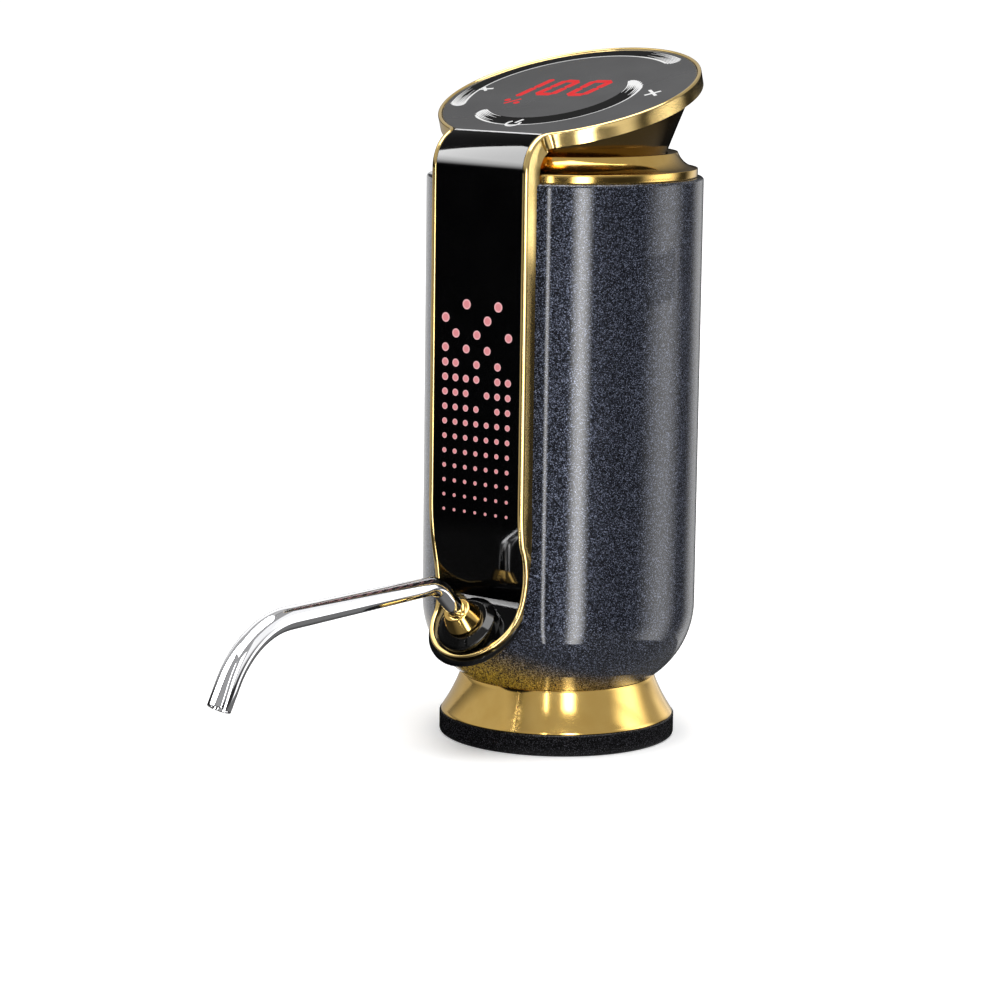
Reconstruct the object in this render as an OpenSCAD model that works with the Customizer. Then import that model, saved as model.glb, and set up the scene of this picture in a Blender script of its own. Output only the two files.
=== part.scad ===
// Electric wine aerator: pump body for a bottle neck, tilted touch display, swivelling pull-out spout
// Stands on its foot ring: origin at the ring's centre on the table, +Z up, the spout to -Y

/* [Base] */
// Width of the foot ring around the lip's hole
foot_w = 11.7; // [11:0.1:13]
// Height of the foot ring
foot_h = 5; // [4:0.25:6]
// Thickness of the foot ring's floor
foot_floor = 2; // [1.5:0.1:2.5]
// Thickness of the foot ring's outer wall
foot_wall = 2.4; // [1.8:0.1:3]
// Diameter of the hole that the bottle's lip enters
lip_hole_d = 32; // [31:0.25:33]
// Height of the skirt above the foot ring
skirt_h = 9.5; // [9:0.25:11]
// Width of the skirt's top edge around the lip's hole
skirt_top_w = 6.8; // [6.6:0.1:7.4]
// Radius of the skirt's hollow curve
skirt_curve_r = 40; // [30:1:60]
// Wall thickness of the skirt
skirt_wall = 1.8; // [1.4:0.1:2.2]
// Thickness of the skirt's inner flange
skirt_flange_t = 3; // [2.5:0.25:3.5]

/* [Sleeve] */
// Outer diameter of the sleeve
body_d = 64; // [62:0.5:68]
// Length of the sleeve from the skirt's top edge up
body_len = 116.9; // [112:0.1:124]
// Wall thickness of the sleeve
body_wall = 2.2; // [1.8:0.1:2.6]
// Radius of the round at the sleeve's lower end
belly_r = 21; // [19:0.5:23]
// Chamfer on the sleeve's top edge
body_edge = 0.7; // [0.4:0.1:1]
// Width of the seat around the lip's hole, which the sleeve's floor leaves open
seat_w = 5; // [4.8:0.1:5.4]

/* [Collar] */
// Diameter of the collar's lip
collar_lip_d = 61.2; // [60:0.2:62]
// Height of the collar's lip
collar_lip_h = 2; // [1.5:0.1:2.5]
// Height of the whole collar
collar_h = 5.7; // [5:0.1:6.5]
// Diameter of the collar's top
collar_top_d = 51.8; // [50:0.2:53]
// Radius of the collar's hollow curve
collar_curve_r = 5.5; // [4.5:0.25:8]
// Thickness of the collar's top
collar_t = 1.6; // [1.2:0.1:2]
// Depth of the ring that locates the collar in the sleeve
collar_spigot = 3; // [2:0.25:4]

/* [Display head] */
// Diameter of the display's gold rim
disc_d = 61.4; // [60:0.2:64]
// Height of the display's centre above the sleeve
disc_rise = 19.2; // [18.5:0.1:21]
// Distance of the display's centre behind the axis
disc_back = 1; // [0:0.1:2]
// Tilt of the display towards the front
disc_tilt = 17.5; // [14:0.5:20]
// Thickness of the display's rim
rim_t = 3.4; // [3:0.1:4]
// Width of the gold lip round the display
rim_lip = 0.9; // [0.7:0.1:1.4]
// Thickness of the lens
lens_t = 1.5; // [1.2:0.1:1.7]
// Depth of the lens below the gold lip
lens_sink = 0.1; // [0.05:0.05:0.3]
// Diameter of the neck where it stands on the collar
neck_d = 46.8; // [45:0.2:48]
// Diameter of the neck under the display
neck_top_d = 55.6; // [55:0.2:57]
// Wall thickness of the neck
neck_wall = 1.5; // [1.2:0.1:1.6]

/* [Strap] */
// Width of the strap
strap_w = 26.6; // [25:0.2:28]
// Width of the gold lip on each side of the strap
strap_lip = 0.9; // [0.7:0.1:1.3]
// Depth of the strap
strap_t = 4; // [3.6:0.1:4.4]
// Outer radius of the bend from the strap into the display
bend_r = 8.8; // [8:0.2:10]
// Thickness of the black panel
panel_t = 1.85; // [1.5:0.05:2.2]
// Depth of the panel below the gold lip
panel_sink = 0.15; // [0.05:0.05:0.3]
// Height at which the strap starts to curve inwards
scoop_z = 57.8; // [55:0.2:60]
// Radius of the inward curve
scoop_r = 48; // [44:1:54]
// Height at which the strap starts to narrow
flare_z = 40; // [39:0.5:42]

/* [Toe] */
// Distance of the spout's seat in front of the sleeve
toe_out = 1.45; // [1:0.05:2]
// Height of the spout's seat
toe_z = 29.95; // [29.5:0.05:31]
// Radius of the toe's gold rim
toe_r = 11.8; // [11:0.1:12.4]
// Distance of the toe's centre up the slope from the spout's seat
toe_up = 3.5; // [3:0.1:4]
// Depth of the platform below the gold rim
toe_sink = 1; // [0.6:0.1:1.3]
// Depth of the toe's straight wall
toe_wall_h = 3.8; // [3:0.1:4.5]
// Radius at the small end of the toe's cone
toe_root_r = 6.5; // [6:0.1:7.5]
// Depth of the toe's cone
toe_depth = 12; // [11:0.25:12.5]

/* [Spout] */
// Lean of the spout's axis from upright
spout_lean = 45; // [43:0.5:47]
// Diameter of the socket's flange
socket_d = 14.2; // [13:0.1:15]
// Height of the socket's flange above the platform
socket_h = 2.6; // [2:0.1:3]
// Diameter of the socket's raised ring
socket_ring_d = 11; // [10:0.1:12]
// Height of the raised ring
socket_ring_h = 0.9; // [0.5:0.1:1.2]
// Diameter of the spout's stem
stem_d = 5.8; // [5.4:0.1:6]
// Diameter of the ferrule at its lower end
ferrule_d = 8.4; // [8:0.1:9]
// Diameter of the ferrule at its top
ferrule_top_d = 6.6; // [6.2:0.1:7]
// Length of the ferrule
ferrule_len = 4.1; // [3.5:0.1:5]
// Outer diameter of the tube at the ferrule
tube_d = 4.3; // [4:0.1:4.6]
// Outer diameter of the tube at its mouth
mouth_d = 5.3; // [4.8:0.1:5.6]
// Wall thickness of the tube
tube_wall = 0.65; // [0.5:0.05:0.8]
// Distance along the axis from the seat to the tube's first corner
tube_rise = 16.8; // [15:0.2:19]
// Radius of the first bend
bend1_r = 8; // [7:0.25:10]
// Length of the level run from the corner
tube_run = 48.7; // [42:0.1:55]
// Radius of the second bend
bend2_r = 22; // [18:0.5:26]
// Turn of the second bend
bend2_a = 60; // [50:1:70]
// Straight length at the mouth
mouth_len = 6; // [4:0.25:8]
// Thickness of the seal rings
seal_t = 1; // [0.8:0.05:1.1]

/* [Bottle stopper] */
// Diameter of the plug that enters the bottle
plug_d = 18.5; // [18:0.1:19.5]
// Height of the plug's tip above the table
plug_z = 0.8; // [0.4:0.1:1.2]
// Taper at the plug's tip
plug_taper = 1.2; // [0.8:0.1:1.6]
// Thickness of the stopper's flange
stopper_t = 1.5; // [1.2:0.1:2]
// Diameter of the hole for the dip straw
straw_d = 6; // [5.5:0.1:6.4]
// Depth of the hole for the dip straw
straw_depth = 8; // [7:0.25:8.5]
// Outer diameter of the wine inlet and of the socket's nipple
inlet_d = 4; // [3.6:0.1:4.2]
// Outer diameter of the air inlet
air_d = 3.2; // [3:0.1:3.4]
// Wall thickness of the inlets
inlet_wall = 0.6; // [0.5:0.05:0.7]
// Wall thickness of the hoses
hose_wall = 1; // [0.8:0.05:1.1]
// Radius of the hose's bend
hose_bend = 7; // [6:0.25:8]

/* [Pump] */
// Gap between the pump and the sleeve's inside
pump_gap = 2; // [1.5:0.1:2.5]
// Turn of the pump's axis from the front, to the left
pump_turn = 38; // [36:0.5:40]
// Pump's diameter under the sleeve's inner radius
pump_slack = 3.4; // [3:0.1:4]
// Height of the pump's lower end
pump_z = 42.5; // [42.5:0.25:44]
// Height of the outlet cap
cap_h = 4.5; // [4:0.25:5]
// Thickness of the valve plate
valve_t = 2.5; // [2:0.25:3]
// Thickness of the diaphragm's flange
skin_t = 1.2; // [1:0.1:1.4]
// Height of the pump's case
case_h = 19.8; // [19:0.2:22]
// Wall thickness of the pump's case
case_wall = 3.4; // [3.2:0.1:3.6]
// Distance of the air chambers' centres inside the case's wall
cup_inset = 4.3; // [4.2:0.1:4.8]
// Half of the gap between two air chambers
cup_gap = 1.2; // [1:0.1:1.5]
// Lean of the drive pin
pin_lean = 6; // [4:0.5:7]
// Diameter of the drive pin
pin_d = 1.8; // [1.6:0.1:2]
// Gap around the eccentric wheel
wheel_gap = 3.3; // [2.8:0.1:3.8]
// Thickness of the eccentric wheel
wheel_t = 4; // [3.5:0.1:4.5]

/* [Motor] */
// Step from the pump's case in to the motor
motor_step = 1; // [0.9:0.1:1.2]
// Length of the motor's can
motor_len = 30; // [28:0.5:33]
// Wall thickness of the can
can_wall = 1; // [0.8:0.1:1.2]
// Thickness of the end cap
end_cap_t = 3.5; // [3:0.25:4]
// Thickness of the magnets
magnet_t = 2; // [1.6:0.1:2.2]
// Diameter of the shaft
shaft_d = 2; // [1.8:0.1:2.3]
// Air gap between the armature and the magnets
air_gap = 0.55; // [0.4:0.05:1]

/* [Electronics] */
// Battery cell's diameter under the sleeve's inner radius
cell_slack = 11.3; // [11.2:0.1:12]
// Length of the battery cell
cell_len = 65; // [60:0.5:70]
// Height of the battery cell's lower end
cell_z = 40; // [36:0.5:44]
// Sideways place of the battery cell
cell_x = 8; // [6:0.25:9]
// Height of the main board
board_z = 118; // [117:0.25:119]
// Gap between the main board and the sleeve
board_gap = 3.3; // [2.8:0.1:4.8]
// Thickness of every circuit board
pcb_t = 1.6; // [1.2:0.1:1.8]
// Columns of lights in the strap
led_cols = 7; // [5:1:7]
// Rows of lights in the strap
led_rows = 15; // [11:1:15]
// Distance between columns of lights
led_pitch_x = 2.93; // [2.7:0.01:3.1]
// Distance between rows of lights
led_pitch_z = 3.46; // [3.2:0.01:3.6]
// Height of the lowest row of lights
led_z = 56.4; // [55.5:0.1:58]
// Width of the charging port's shell
usb_w = 8.9; // [8.8:0.05:9.2]
// Height of the charging port's shell
usb_h = 3.2; // [3:0.05:3.4]

/* [Fits] */
// Gap between the trim and the sleeve's slot
slot_gap = 0.1; // [0.05:0.05:0.2]
// Radial running clearance of turning fits
run_gap = 0.05; // [0.03:0.01:0.08]
// Radial gap of fixed fits
fit_gap = 0.05; // [0.02:0.01:0.1]

/* [Hidden] */
$fn = 96;
eps = 0.5;
seam = 0.02;
seam_len = 0.4;
body_r = body_d / 2;
lip_r = lip_hole_d / 2;
foot_r = lip_r + foot_w;
skirt_low_r = foot_r - 0.2;
skirt_top_r = lip_r + skirt_top_w;
skirt_top = foot_h + skirt_h;
body_top = skirt_top + body_len;
belly_c = body_r - belly_r;
belly_z = skirt_top + sqrt(pow(belly_r, 2) - pow(skirt_top_r - belly_c, 2));
inner_r = body_r - body_wall;
floor_hole_r = lip_r + seat_w;
base_z = skirt_top - 3;
plate_r = floor_hole_r + 1.4;
plate_z = belly_z - sqrt(pow(belly_r - body_wall, 2) - pow(plate_r - belly_c, 2)) + 0.2;
plate_t = 1.5;
plate_top = plate_z + plate_t;
boss_r = floor_hole_r - 0.2;
screw_r = boss_r - 2.4;
screw_d = 2.4;
screw_head_d = 4;
screw_head_h = 1.8;
screw_grip = 4;
base_bolts = [30, 150, 270];

collar_top = body_top + collar_h;
collar_bore_r = neck_d / 2 - 1.8;
disc_r = disc_d / 2;
disc_z = body_top + disc_rise;
lens_r = disc_r - rim_lip;
lens_pocket = lens_sink + lens_t;
window_r = disc_r - 6.7;
neck_up = 0.8;
neck_edge = 0.4;
strap_y = -body_r;
bend_y = strap_y + bend_r;
bend_z = disc_z + ((bend_y - disc_back) * sin(disc_tilt) - bend_r) / cos(disc_tilt);
bend_u = (bend_y - disc_back) * cos(disc_tilt) + (bend_z - disc_z) * sin(disc_tilt);
tab_len = 8;
panel_tab = 0.6;
panel_end_u = bend_u + panel_tab;
panel_pocket = panel_sink + panel_t;
fillet_r = 1.2;
fillet_bite = 0.04;
fillet_x = strap_w / 2 + fillet_r - fillet_bite;
fillet_u = -sqrt(pow(disc_r + fillet_r - fillet_bite, 2) - pow(fillet_x, 2));

toe_y = strap_y - toe_out;
toe_low_z = toe_z + 1.55;
toe_w = 2 * toe_r + 0.2;
cheek_y = -sqrt(pow(body_r, 2) - pow(strap_w / 2, 2)) - 0.3;
cheek_back = cheek_y + 2.9;
cheek_top = flare_z + 4;
rim_band = strap_lip + 0.05;
slot_back = 20;
shelf_back = 6.4;

stem_r = stem_d / 2;
socket_neck_r = stem_r + 1.3;
socket_top = socket_h + socket_ring_h - toe_sink;
stem_deep = 3.2;
socket_tail = 4;
nipple_len = 4.5;
ferrule_z = socket_top + 0.05;
seal_zs = [-0.4, -2.2];
inlet_r = inlet_d / 2;
hose_r = inlet_r + hose_wall;
hose_start = socket_tail + nipple_len;
hose_bend_y = toe_y + hose_start * sin(spout_lean) + hose_bend * cos(spout_lean);
hose_bend_z = toe_z - hose_start * cos(spout_lean) + hose_bend * sin(spout_lean);
hose_z = hose_bend_z - hose_bend;
elbow_r = 3.4;
inlet_end = 8.5;
hose_end = 4.6;
corner_y = toe_y - tube_rise * sin(spout_lean);
corner_z = toe_z + tube_rise * cos(spout_lean);
bend1_a = 90 - spout_lean;
bend1_set = bend1_r * tan(bend1_a / 2);
level_y = corner_y - bend1_set;
level_z = corner_z;
bend2_y = corner_y - tube_run;
bend2_z = level_z - bend2_r;
tube_start = ferrule_z + 0.3;

plug_r = plug_d / 2;
straw_top = plug_z + straw_depth;
stopper_z = base_z - stopper_t;
air_r = air_d / 2;
air_x = -6.2;
air_y = -2.5;
air_top = 24;
nipple_z = pump_z - 5;

spine_w = 40;
peg_x = 14;
peg_d = 1.6;
leg_w = 6;
leg_h = 6.5;
deck_r = inner_r - 4.8;
post_d = 5;
clamp_wall = 1.5;
clamp_h = 5;
cradle_wall = 1.6;
cradle_h = 6;
front_clear = 8;
pump_r = (inner_r - pump_slack) / 2;
pump_x = -(inner_r - pump_r - pump_gap) * sin(pump_turn);
pump_y = -(inner_r - pump_r - pump_gap) * cos(pump_turn);
spine_y = pump_y + pump_r + 0.3;
spine_t = 2;
bore_r = pump_r - case_wall;
valve_z = pump_z + cap_h;
skin_z = valve_z + valve_t;
case_z = skin_z + skin_t;
motor_z = case_z + case_h;
motor_r = pump_r - motor_step;
armature_r = motor_r - can_wall - fit_gap - magnet_t - air_gap;
can_top = motor_z + motor_len;
nod_z = skin_z + 5.5;
wheel_z = nod_z + 8;
shaft_grip = 1.3;
pin_len = 10.2;
cup_angles = [90, 210, 330];
pump_bolts = [30, 150, 270];
pump_bolt_r = (pump_r + bore_r) / 2;
cup_pitch = bore_r - cup_inset;
cup_r = cup_pitch * sin(60) - cup_gap;
wheel_r = bore_r - wheel_gap;
pump_screw_d = 1.8;
cup_h = 3.3;
arm_t = 1.4;
arm_w = 2.6;
hub_r = 2.6;
flap_r = 0.72 * cup_r;
flap_t = 0.5;
cell_r = (inner_r - cell_slack) / 2;
cell_y = spine_y + spine_t + 1.25 + cell_r;
deck_z = board_z - 4;
deck_t = 2;
board_r = inner_r - board_gap;
board_bolts = [45, 135, 315];
board_bolt_r = deck_r - 4;
board_screw_d = 2;
led_top = led_z + (led_rows - 1) * led_pitch_z;
led_w = (led_cols - 1) * led_pitch_x;
led_side = 1.6;
led_h = 0.7;
led_rim = 1.6;
led_edge_x = 2.4;
led_edge_z = 4;
led_pcb_t = 1.2;
led_low = scoop_z - led_z + led_edge_z;
led_board_y = strap_y + strap_t + scoop_r - sqrt(pow(scoop_r, 2) - pow(led_low, 2)) + 0.05;
usb_len = 7.5;
usb_front = sqrt(pow(body_r, 2) - pow(usb_w / 2, 2)) - 0.3;
usb_z = board_z + pcb_t;
pad_spots = [[-1, 0], [1, 0], [0, -1]];
pad_r = 1.8;
pad_at = window_r - pad_r - 0.4;
digits_at = [-13.5, -6.5];
digits_size = [23, 16];

// Outer radius of the skirt's straight flank at a height
function flank_r(z) = skirt_low_r + (skirt_top_r - skirt_low_r) * (z - foot_h) / skirt_h;
// Centre of a hollow arc of radius r through two points
function hollow(p, q, r) = (p + q) / 2 + [q[1] - p[1], p[0] - q[0]] / norm(q - p)
    * sqrt(r * r - pow(norm(q - p) / 2, 2));
// Points of an arc, three degrees apart
function arc(c, r, a0, a1) = let (n = ceil(abs(a1 - a0) / 3))
    [for (i = [0 : n]) let (a = a0 + (a1 - a0) * i / n) c + r * [cos(a), sin(a)]];
// Side section of a point given along and above the display's face
function disc_point(u, h) = [disc_back + u * cos(disc_tilt) - h * sin(disc_tilt),
    disc_z + u * sin(disc_tilt) + h * cos(disc_tilt)];
// Height of the wobble plate's underside over an air chamber
function arm_z(a) = nod_z - cup_pitch * cos(a) * sin(pin_lean) - arm_t / 2 / cos(pin_lean);

// Plane of the front-to-back section, drawn as (y, z) and given a width across
module across(w) {
    rotate([90, 0, 90])
        linear_extrude(height = w, center = true)
            children();
}

// Turn about a crosswise line, from angle a0 through a
module crosswise_turn(y, z, a0, a) {
    translate([0, y, z])
        rotate([90, 0, 90])
            rotate([0, 0, a0])
                rotate_extrude(angle = a)
                    children();
}

// Front outline, drawn as (x, z) and carried from y0 back to y1
module carried(y0, y1) {
    translate([0, y1, 0])
        rotate([90, 0, 0])
            linear_extrude(height = y1 - y0)
                children();
}

// Frame of the spout: its axis is the local z, up the slope is the local y
module at_seat() {
    translate([0, toe_y, toe_z])
        rotate([spout_lean, 0, 0])
            children();
}

// Frame of the display: its face is the local z = 0
module at_disc() {
    translate([0, disc_back, disc_z])
        rotate([disc_tilt, 0, 0])
            children();
}

module at_pump(z) {
    translate([pump_x, pump_y, z])
        children();
}

// Frame of the leaning drive pin, its origin at the point about which the plate nods
module at_pin() {
    at_pump(nod_z)
        rotate([0, pin_lean, 0])
            children();
}

module tube(ro, ri, h) {
    difference() {
        cylinder(r = ro, h = h);
        translate([0, 0, -eps])
            cylinder(r = ri, h = h + 2 * eps);
    }
}

module foot_ring() {
    color("#17171a")
        rotate_extrude()
            union() {
                translate([lip_r, 0])
                    square([foot_r - 0.4 - lip_r, foot_floor]);
                polygon([[foot_r - foot_wall, 0], [foot_r - 0.4, 0], [foot_r, 0.4], [foot_r, foot_h],
                    [foot_r - foot_wall, foot_h]]);
            }
}

module base_skirt() {
    low = [skirt_low_r, foot_h];
    top = [skirt_top_r, skirt_top];
    flange_z = base_z - skirt_flange_t;
    color("#d8a33a")
        difference() {
            rotate_extrude()
                difference() {
                    union() {
                        polygon([low, top, [skirt_top_r - skirt_wall, skirt_top],
                            [skirt_low_r - skirt_wall, foot_h]]);
                        polygon([[lip_r + 0.3, flange_z], [flank_r(flange_z) - 1, flange_z],
                            [flank_r(base_z) - 1, base_z], [lip_r + 0.3, base_z]]);
                    }
                    translate(hollow(low, top, skirt_curve_r))
                        circle(r = skirt_curve_r);
                    translate([belly_c, belly_z])
                        circle(r = belly_r + fit_gap);
                }
            for (a = base_bolts)
                rotate([0, 0, a])
                    translate([screw_r, 0, flange_z - eps])
                        cylinder(d = screw_d + 2 * fit_gap, h = skirt_flange_t + 2 * eps);
        }
}

module base_screws() {
    color("#8f9296")
        for (a = base_bolts)
            rotate([0, 0, a])
                translate([screw_r, 0, base_z - skirt_flange_t])
                    difference() {
                        union() {
                            translate([0, 0, -screw_head_h])
                                cylinder(d = screw_head_d, h = screw_head_h);
                            cylinder(d = screw_d, h = skirt_flange_t + screw_grip);
                        }
                        translate([0, 0, -screw_head_h - eps])
                            cylinder(r = 1, h = 0.9 + eps, $fn = 6);
                    }
}

module base_plate() {
    color("#26262a")
        difference() {
            union() {
                translate([0, 0, base_z])
                    cylinder(r = boss_r, h = plate_top - base_z);
                translate([0, 0, plate_z])
                    cylinder(r = plate_r, h = plate_t);
            }
            translate([0, 0, base_z - eps])
                cylinder(r = inlet_r + fit_gap, h = plate_top);
            translate([air_x, air_y, base_z - eps])
                cylinder(r = air_r + fit_gap, h = plate_top);
            for (a = base_bolts)
                rotate([0, 0, a])
                    translate([screw_r, 0, base_z - eps])
                        cylinder(d = screw_d + 2 * fit_gap, h = screw_grip + eps);
            for (x = [-1, 1])
                translate([x * peg_x, spine_y + spine_t / 2, plate_z - 1])
                    cylinder(d = peg_d + 2 * fit_gap, h = 5);
        }
}

module bottle_stopper() {
    color("#3a3a3e")
        difference() {
            union() {
                translate([0, 0, stopper_z])
                    cylinder(r = lip_r - 0.3, h = stopper_t);
                translate([0, 0, plug_z + plug_taper])
                    cylinder(r = plug_r, h = stopper_z - plug_z - plug_taper + 0.1);
                translate([0, 0, plug_z])
                    cylinder(r1 = plug_r - plug_taper, r2 = plug_r, h = plug_taper);
            }
            translate([0, 0, plug_z - eps])
                cylinder(d = straw_d, h = straw_depth + eps);
            cylinder(r = inlet_r + fit_gap, h = base_z + eps);
            translate([air_x, air_y, 0])
                cylinder(r = air_r + fit_gap, h = base_z + eps);
        }
}

// Seam bead where a straight length meets a bend, along the local z
module bead(r) {
    translate([0, 0, -seam_len / 2])
        cylinder(r = r + seam, h = seam_len);
}

module inlet_path(r, low, past) {
    translate([0, 0, hose_z - elbow_r])
        bead(r);
    translate([0, -elbow_r, hose_z])
        rotate([90, 0, 0])
            bead(r);
    translate([0, 0, low])
        cylinder(r = r, h = hose_z - elbow_r - low);
    crosswise_turn(-elbow_r, hose_z - elbow_r, 0, 90)
        translate([elbow_r, 0])
            circle(r = r);
    translate([0, -elbow_r, hose_z])
        rotate([90, 0, 0])
            cylinder(r = r, h = inlet_end - elbow_r + past);
}

module wine_inlet() {
    color("#b9bcc0")
        difference() {
            inlet_path(inlet_r, straw_top, 0);
            inlet_path(inlet_r - inlet_wall, straw_top - eps, eps);
        }
}

module air_inlet() {
    color("#b9bcc0")
        translate([air_x, air_y, plug_z + 0.6])
            tube(air_r, air_r - inlet_wall, air_top - plug_z - 0.6);
}

module hose_path(r, past) {
    at_seat()
        translate([0, 0, -hose_start])
            bead(r);
    translate([0, hose_bend_y, hose_z])
        rotate([90, 0, 0])
            bead(r);
    at_seat()
        translate([0, 0, -hose_start])
            cylinder(r = r, h = nipple_len - 0.2 + past);
    crosswise_turn(hose_bend_y, hose_bend_z, 270 - bend1_a, bend1_a)
        translate([hose_bend, 0])
            circle(r = r);
    translate([0, -hose_end + past, hose_z])
        rotate([90, 0, 0])
            cylinder(r = r, h = -hose_end - hose_bend_y + past);
}

module wine_hose() {
    color("#c9c4bd")
        difference() {
            hose_path(hose_r, 0);
            hose_path(inlet_r + fit_gap, eps);
        }
}

module air_hose() {
    color("#c9c4bd")
        translate([air_x, air_y, plate_top + 0.3])
            tube(air_r + hose_wall, air_r + fit_gap, pump_z - plate_top - 0.6);
}

// Opening that the strap and the toe leave in the sleeve, seen from the front
module slot_outline(g) {
    polygon([[-strap_w / 2 - g, body_top + 20], [strap_w / 2 + g, body_top + 20], [strap_w / 2 + g, flare_z],
        [toe_w / 2 + g, toe_low_z - g], [-toe_w / 2 - g, toe_low_z - g], [-strap_w / 2 - g, flare_z]]);
}

// Toe: a short drum along the spout's axis that tapers back into the sleeve
module toe_solid(g, top) {
    at_seat()
        translate([0, toe_up, 0])
            rotate_extrude()
                polygon([[0, -toe_depth], [toe_root_r + g, -toe_depth], [toe_r + g, -toe_wall_h],
                    [toe_r + g, top], [0, top]]);
}

// Room for the hose where it bends behind the toe
module hose_relief() {
    at_seat()
        translate([0, toe_up, -toe_depth - 2.5])
            cylinder(r = toe_root_r - 0.4, h = 3.5);
}

module body_section(r, low_r, top) {
    intersection() {
        translate([belly_c, belly_z])
            circle(r = r - belly_c);
        translate([low_r, belly_z - belly_r - 1])
            square([body_r + 1, 2 * belly_r + 2]);
    }
    translate([low_r, belly_z])
        square([r - low_r, top - belly_z]);
}

module body_shell() {
    color("#1c2026")
        difference() {
            rotate_extrude()
                difference() {
                    body_section(body_r, floor_hole_r, body_top);
                    body_section(inner_r, floor_hole_r - 1, body_top + 1);
                    polygon([[body_r - body_edge, body_top], [body_r + 1, body_top - body_edge - 1],
                        [body_r + 1, body_top + 1], [body_r - body_edge - 1, body_top + 1]]);
                }
            carried(strap_y - 5, -slot_back)
                slot_outline(slot_gap);
            toe_solid(slot_gap, 2);
            hose_relief();
            translate([0, usb_front - usb_len, usb_z + usb_h / 2])
                rotate([-90, 0, 0])
                    usb_form(0.2, usb_len + 2);
        }
}

module top_collar() {
    lip = [collar_lip_d / 2, body_top + collar_lip_h];
    top = [collar_top_d / 2, collar_top];
    low_r = inner_r - fit_gap;
    color("#d8a33a")
        difference() {
            rotate_extrude()
                difference() {
                    polygon([[low_r - collar_t, body_top - collar_spigot], [low_r, body_top - collar_spigot],
                        [low_r, body_top], [lip[0], body_top], lip, top, [collar_bore_r, collar_top],
                        [collar_bore_r, collar_top - collar_t], [top[0] - 1.3, collar_top - collar_t],
                        [low_r - collar_t, body_top + 0.8]]);
                    translate(hollow(lip, top, collar_curve_r))
                        circle(r = collar_curve_r);
                }
            translate([-strap_w / 2 - slot_gap, strap_y - 5, body_top - 10])
                cube([strap_w + 2 * slot_gap, strap_t + 5 + slot_gap, 20]);
        }
}

module head_neck() {
    color("#121214")
        difference() {
            union() {
                hull() {
                    translate([0, 0, collar_top])
                        cylinder(d = neck_d, h = 0.6, $fn = 64);
                    at_disc()
                        translate([0, neck_up, -rim_t - neck_edge])
                            cylinder(d = neck_top_d, h = neck_edge, $fn = 64);
                }
                translate([0, 0, collar_top - collar_t - 1])
                    cylinder(r = collar_bore_r - fit_gap, h = collar_t + 1.2);
            }
            hull() {
                translate([0, 0, collar_top + 0.8])
                    cylinder(d = neck_d - 2 * neck_wall, h = 0.6, $fn = 64);
                at_disc()
                    translate([0, neck_up, -rim_t - neck_edge])
                        cylinder(d = neck_top_d - 2 * neck_wall, h = 1, $fn = 64);
            }
            translate([0, 0, collar_top - collar_t - 2])
                cylinder(r = collar_bore_r - 2, h = 8);
        }
}

// Side section of the strap between two depths below its outer face: the bend starts at an angle past
// the display's plane, or with a flat tab on it
module strap_section(d0, d1, past, tab) {
    low_a = 180 + asin((scoop_z - toe_z) / scoop_r);
    top_a = 90 + disc_tilt - past;
    bend = [bend_y, bend_z];
    scoop = [strap_y + scoop_r, scoop_z];
    intersection() {
        polygon(concat(tab > 0 ? [disc_point(bend_u + tab, -d0)] : [], arc(bend, bend_r - d0, top_a, 180),
            arc(scoop, scoop_r - d0, 180, low_a), arc(scoop, scoop_r - d1, low_a, 180),
            arc(bend, bend_r - d1, 180, top_a), tab > 0 ? [disc_point(bend_u + tab, -d1)] : []));
        translate([toe_y, toe_z])
            rotate(spout_lean)
                translate([-90, -toe_sink])
                    square([290, 190]);
    }
}

// Strap, bent and narrowed, from d0 to d1 below its face and g narrower on each side
module strap_slab(d0, d1, g, past, tab) {
    intersection() {
        across(strap_w - 2 * g)
            strap_section(d0, d1, past, tab);
        carried(strap_y - 5, 40)
            slot_outline(-g);
    }
}

module disc_face() {
    circle(r = disc_r);
    translate([-strap_w / 2, bend_u + 0.1])
        square([strap_w, tab_len]);
    for (s = [-1, 1])
        difference() {
            polygon([[s * (strap_w / 2 - 0.3), fillet_u], [s * (strap_w / 2 - 0.3), fillet_u + 4],
                [s * fillet_x * disc_r / (disc_r + fillet_r), fillet_u * disc_r / (disc_r + fillet_r)],
                [s * fillet_x, fillet_u]]);
            translate([s * fillet_x, fillet_u])
                circle(r = fillet_r);
        }
}

// Gold band on the toe and the two cheeks that join it to the strap
module toe_band() {
    intersection() {
        at_seat()
            translate([0, toe_up, -toe_sink - 0.6])
                tube(toe_r + 0.05, toe_r - rim_band, toe_sink + 0.6);
        translate([-20, toe_y - 15, toe_low_z - 20])
            cube([40, 30, 21.6]);
    }
    carried(cheek_y, cheek_back)
        for (s = [-1, 1])
            polygon([[s * strap_w / 2, cheek_top], [s * strap_w / 2, flare_z], [s * toe_w / 2, toe_low_z],
                [s * (toe_w / 2 - rim_band), toe_low_z], [s * (strap_w / 2 - rim_band), flare_z],
                [s * (strap_w / 2 - rim_band), cheek_top]]);
}

module trim_frame() {
    color("#d8a33a")
        difference() {
            union() {
                at_disc()
                    translate([0, 0, -rim_t])
                        linear_extrude(height = rim_t)
                            disc_face();
                strap_slab(0, strap_t, 0, 6, 0);
                toe_band();
            }
            strap_slab(-2, panel_pocket, strap_lip, 0, panel_tab);
            at_disc() {
                translate([0, 0, -lens_pocket])
                    cylinder(r = lens_r, h = 5);
                translate([0, 0, -rim_t - eps])
                    cylinder(r = window_r, h = 5);
            }
            translate([-led_w / 2 - led_rim, strap_y + 1, led_z - led_rim])
                cube([led_w + 2 * led_rim, strap_t + 1, led_top - led_z + 2 * led_rim]);
        }
}

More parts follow.
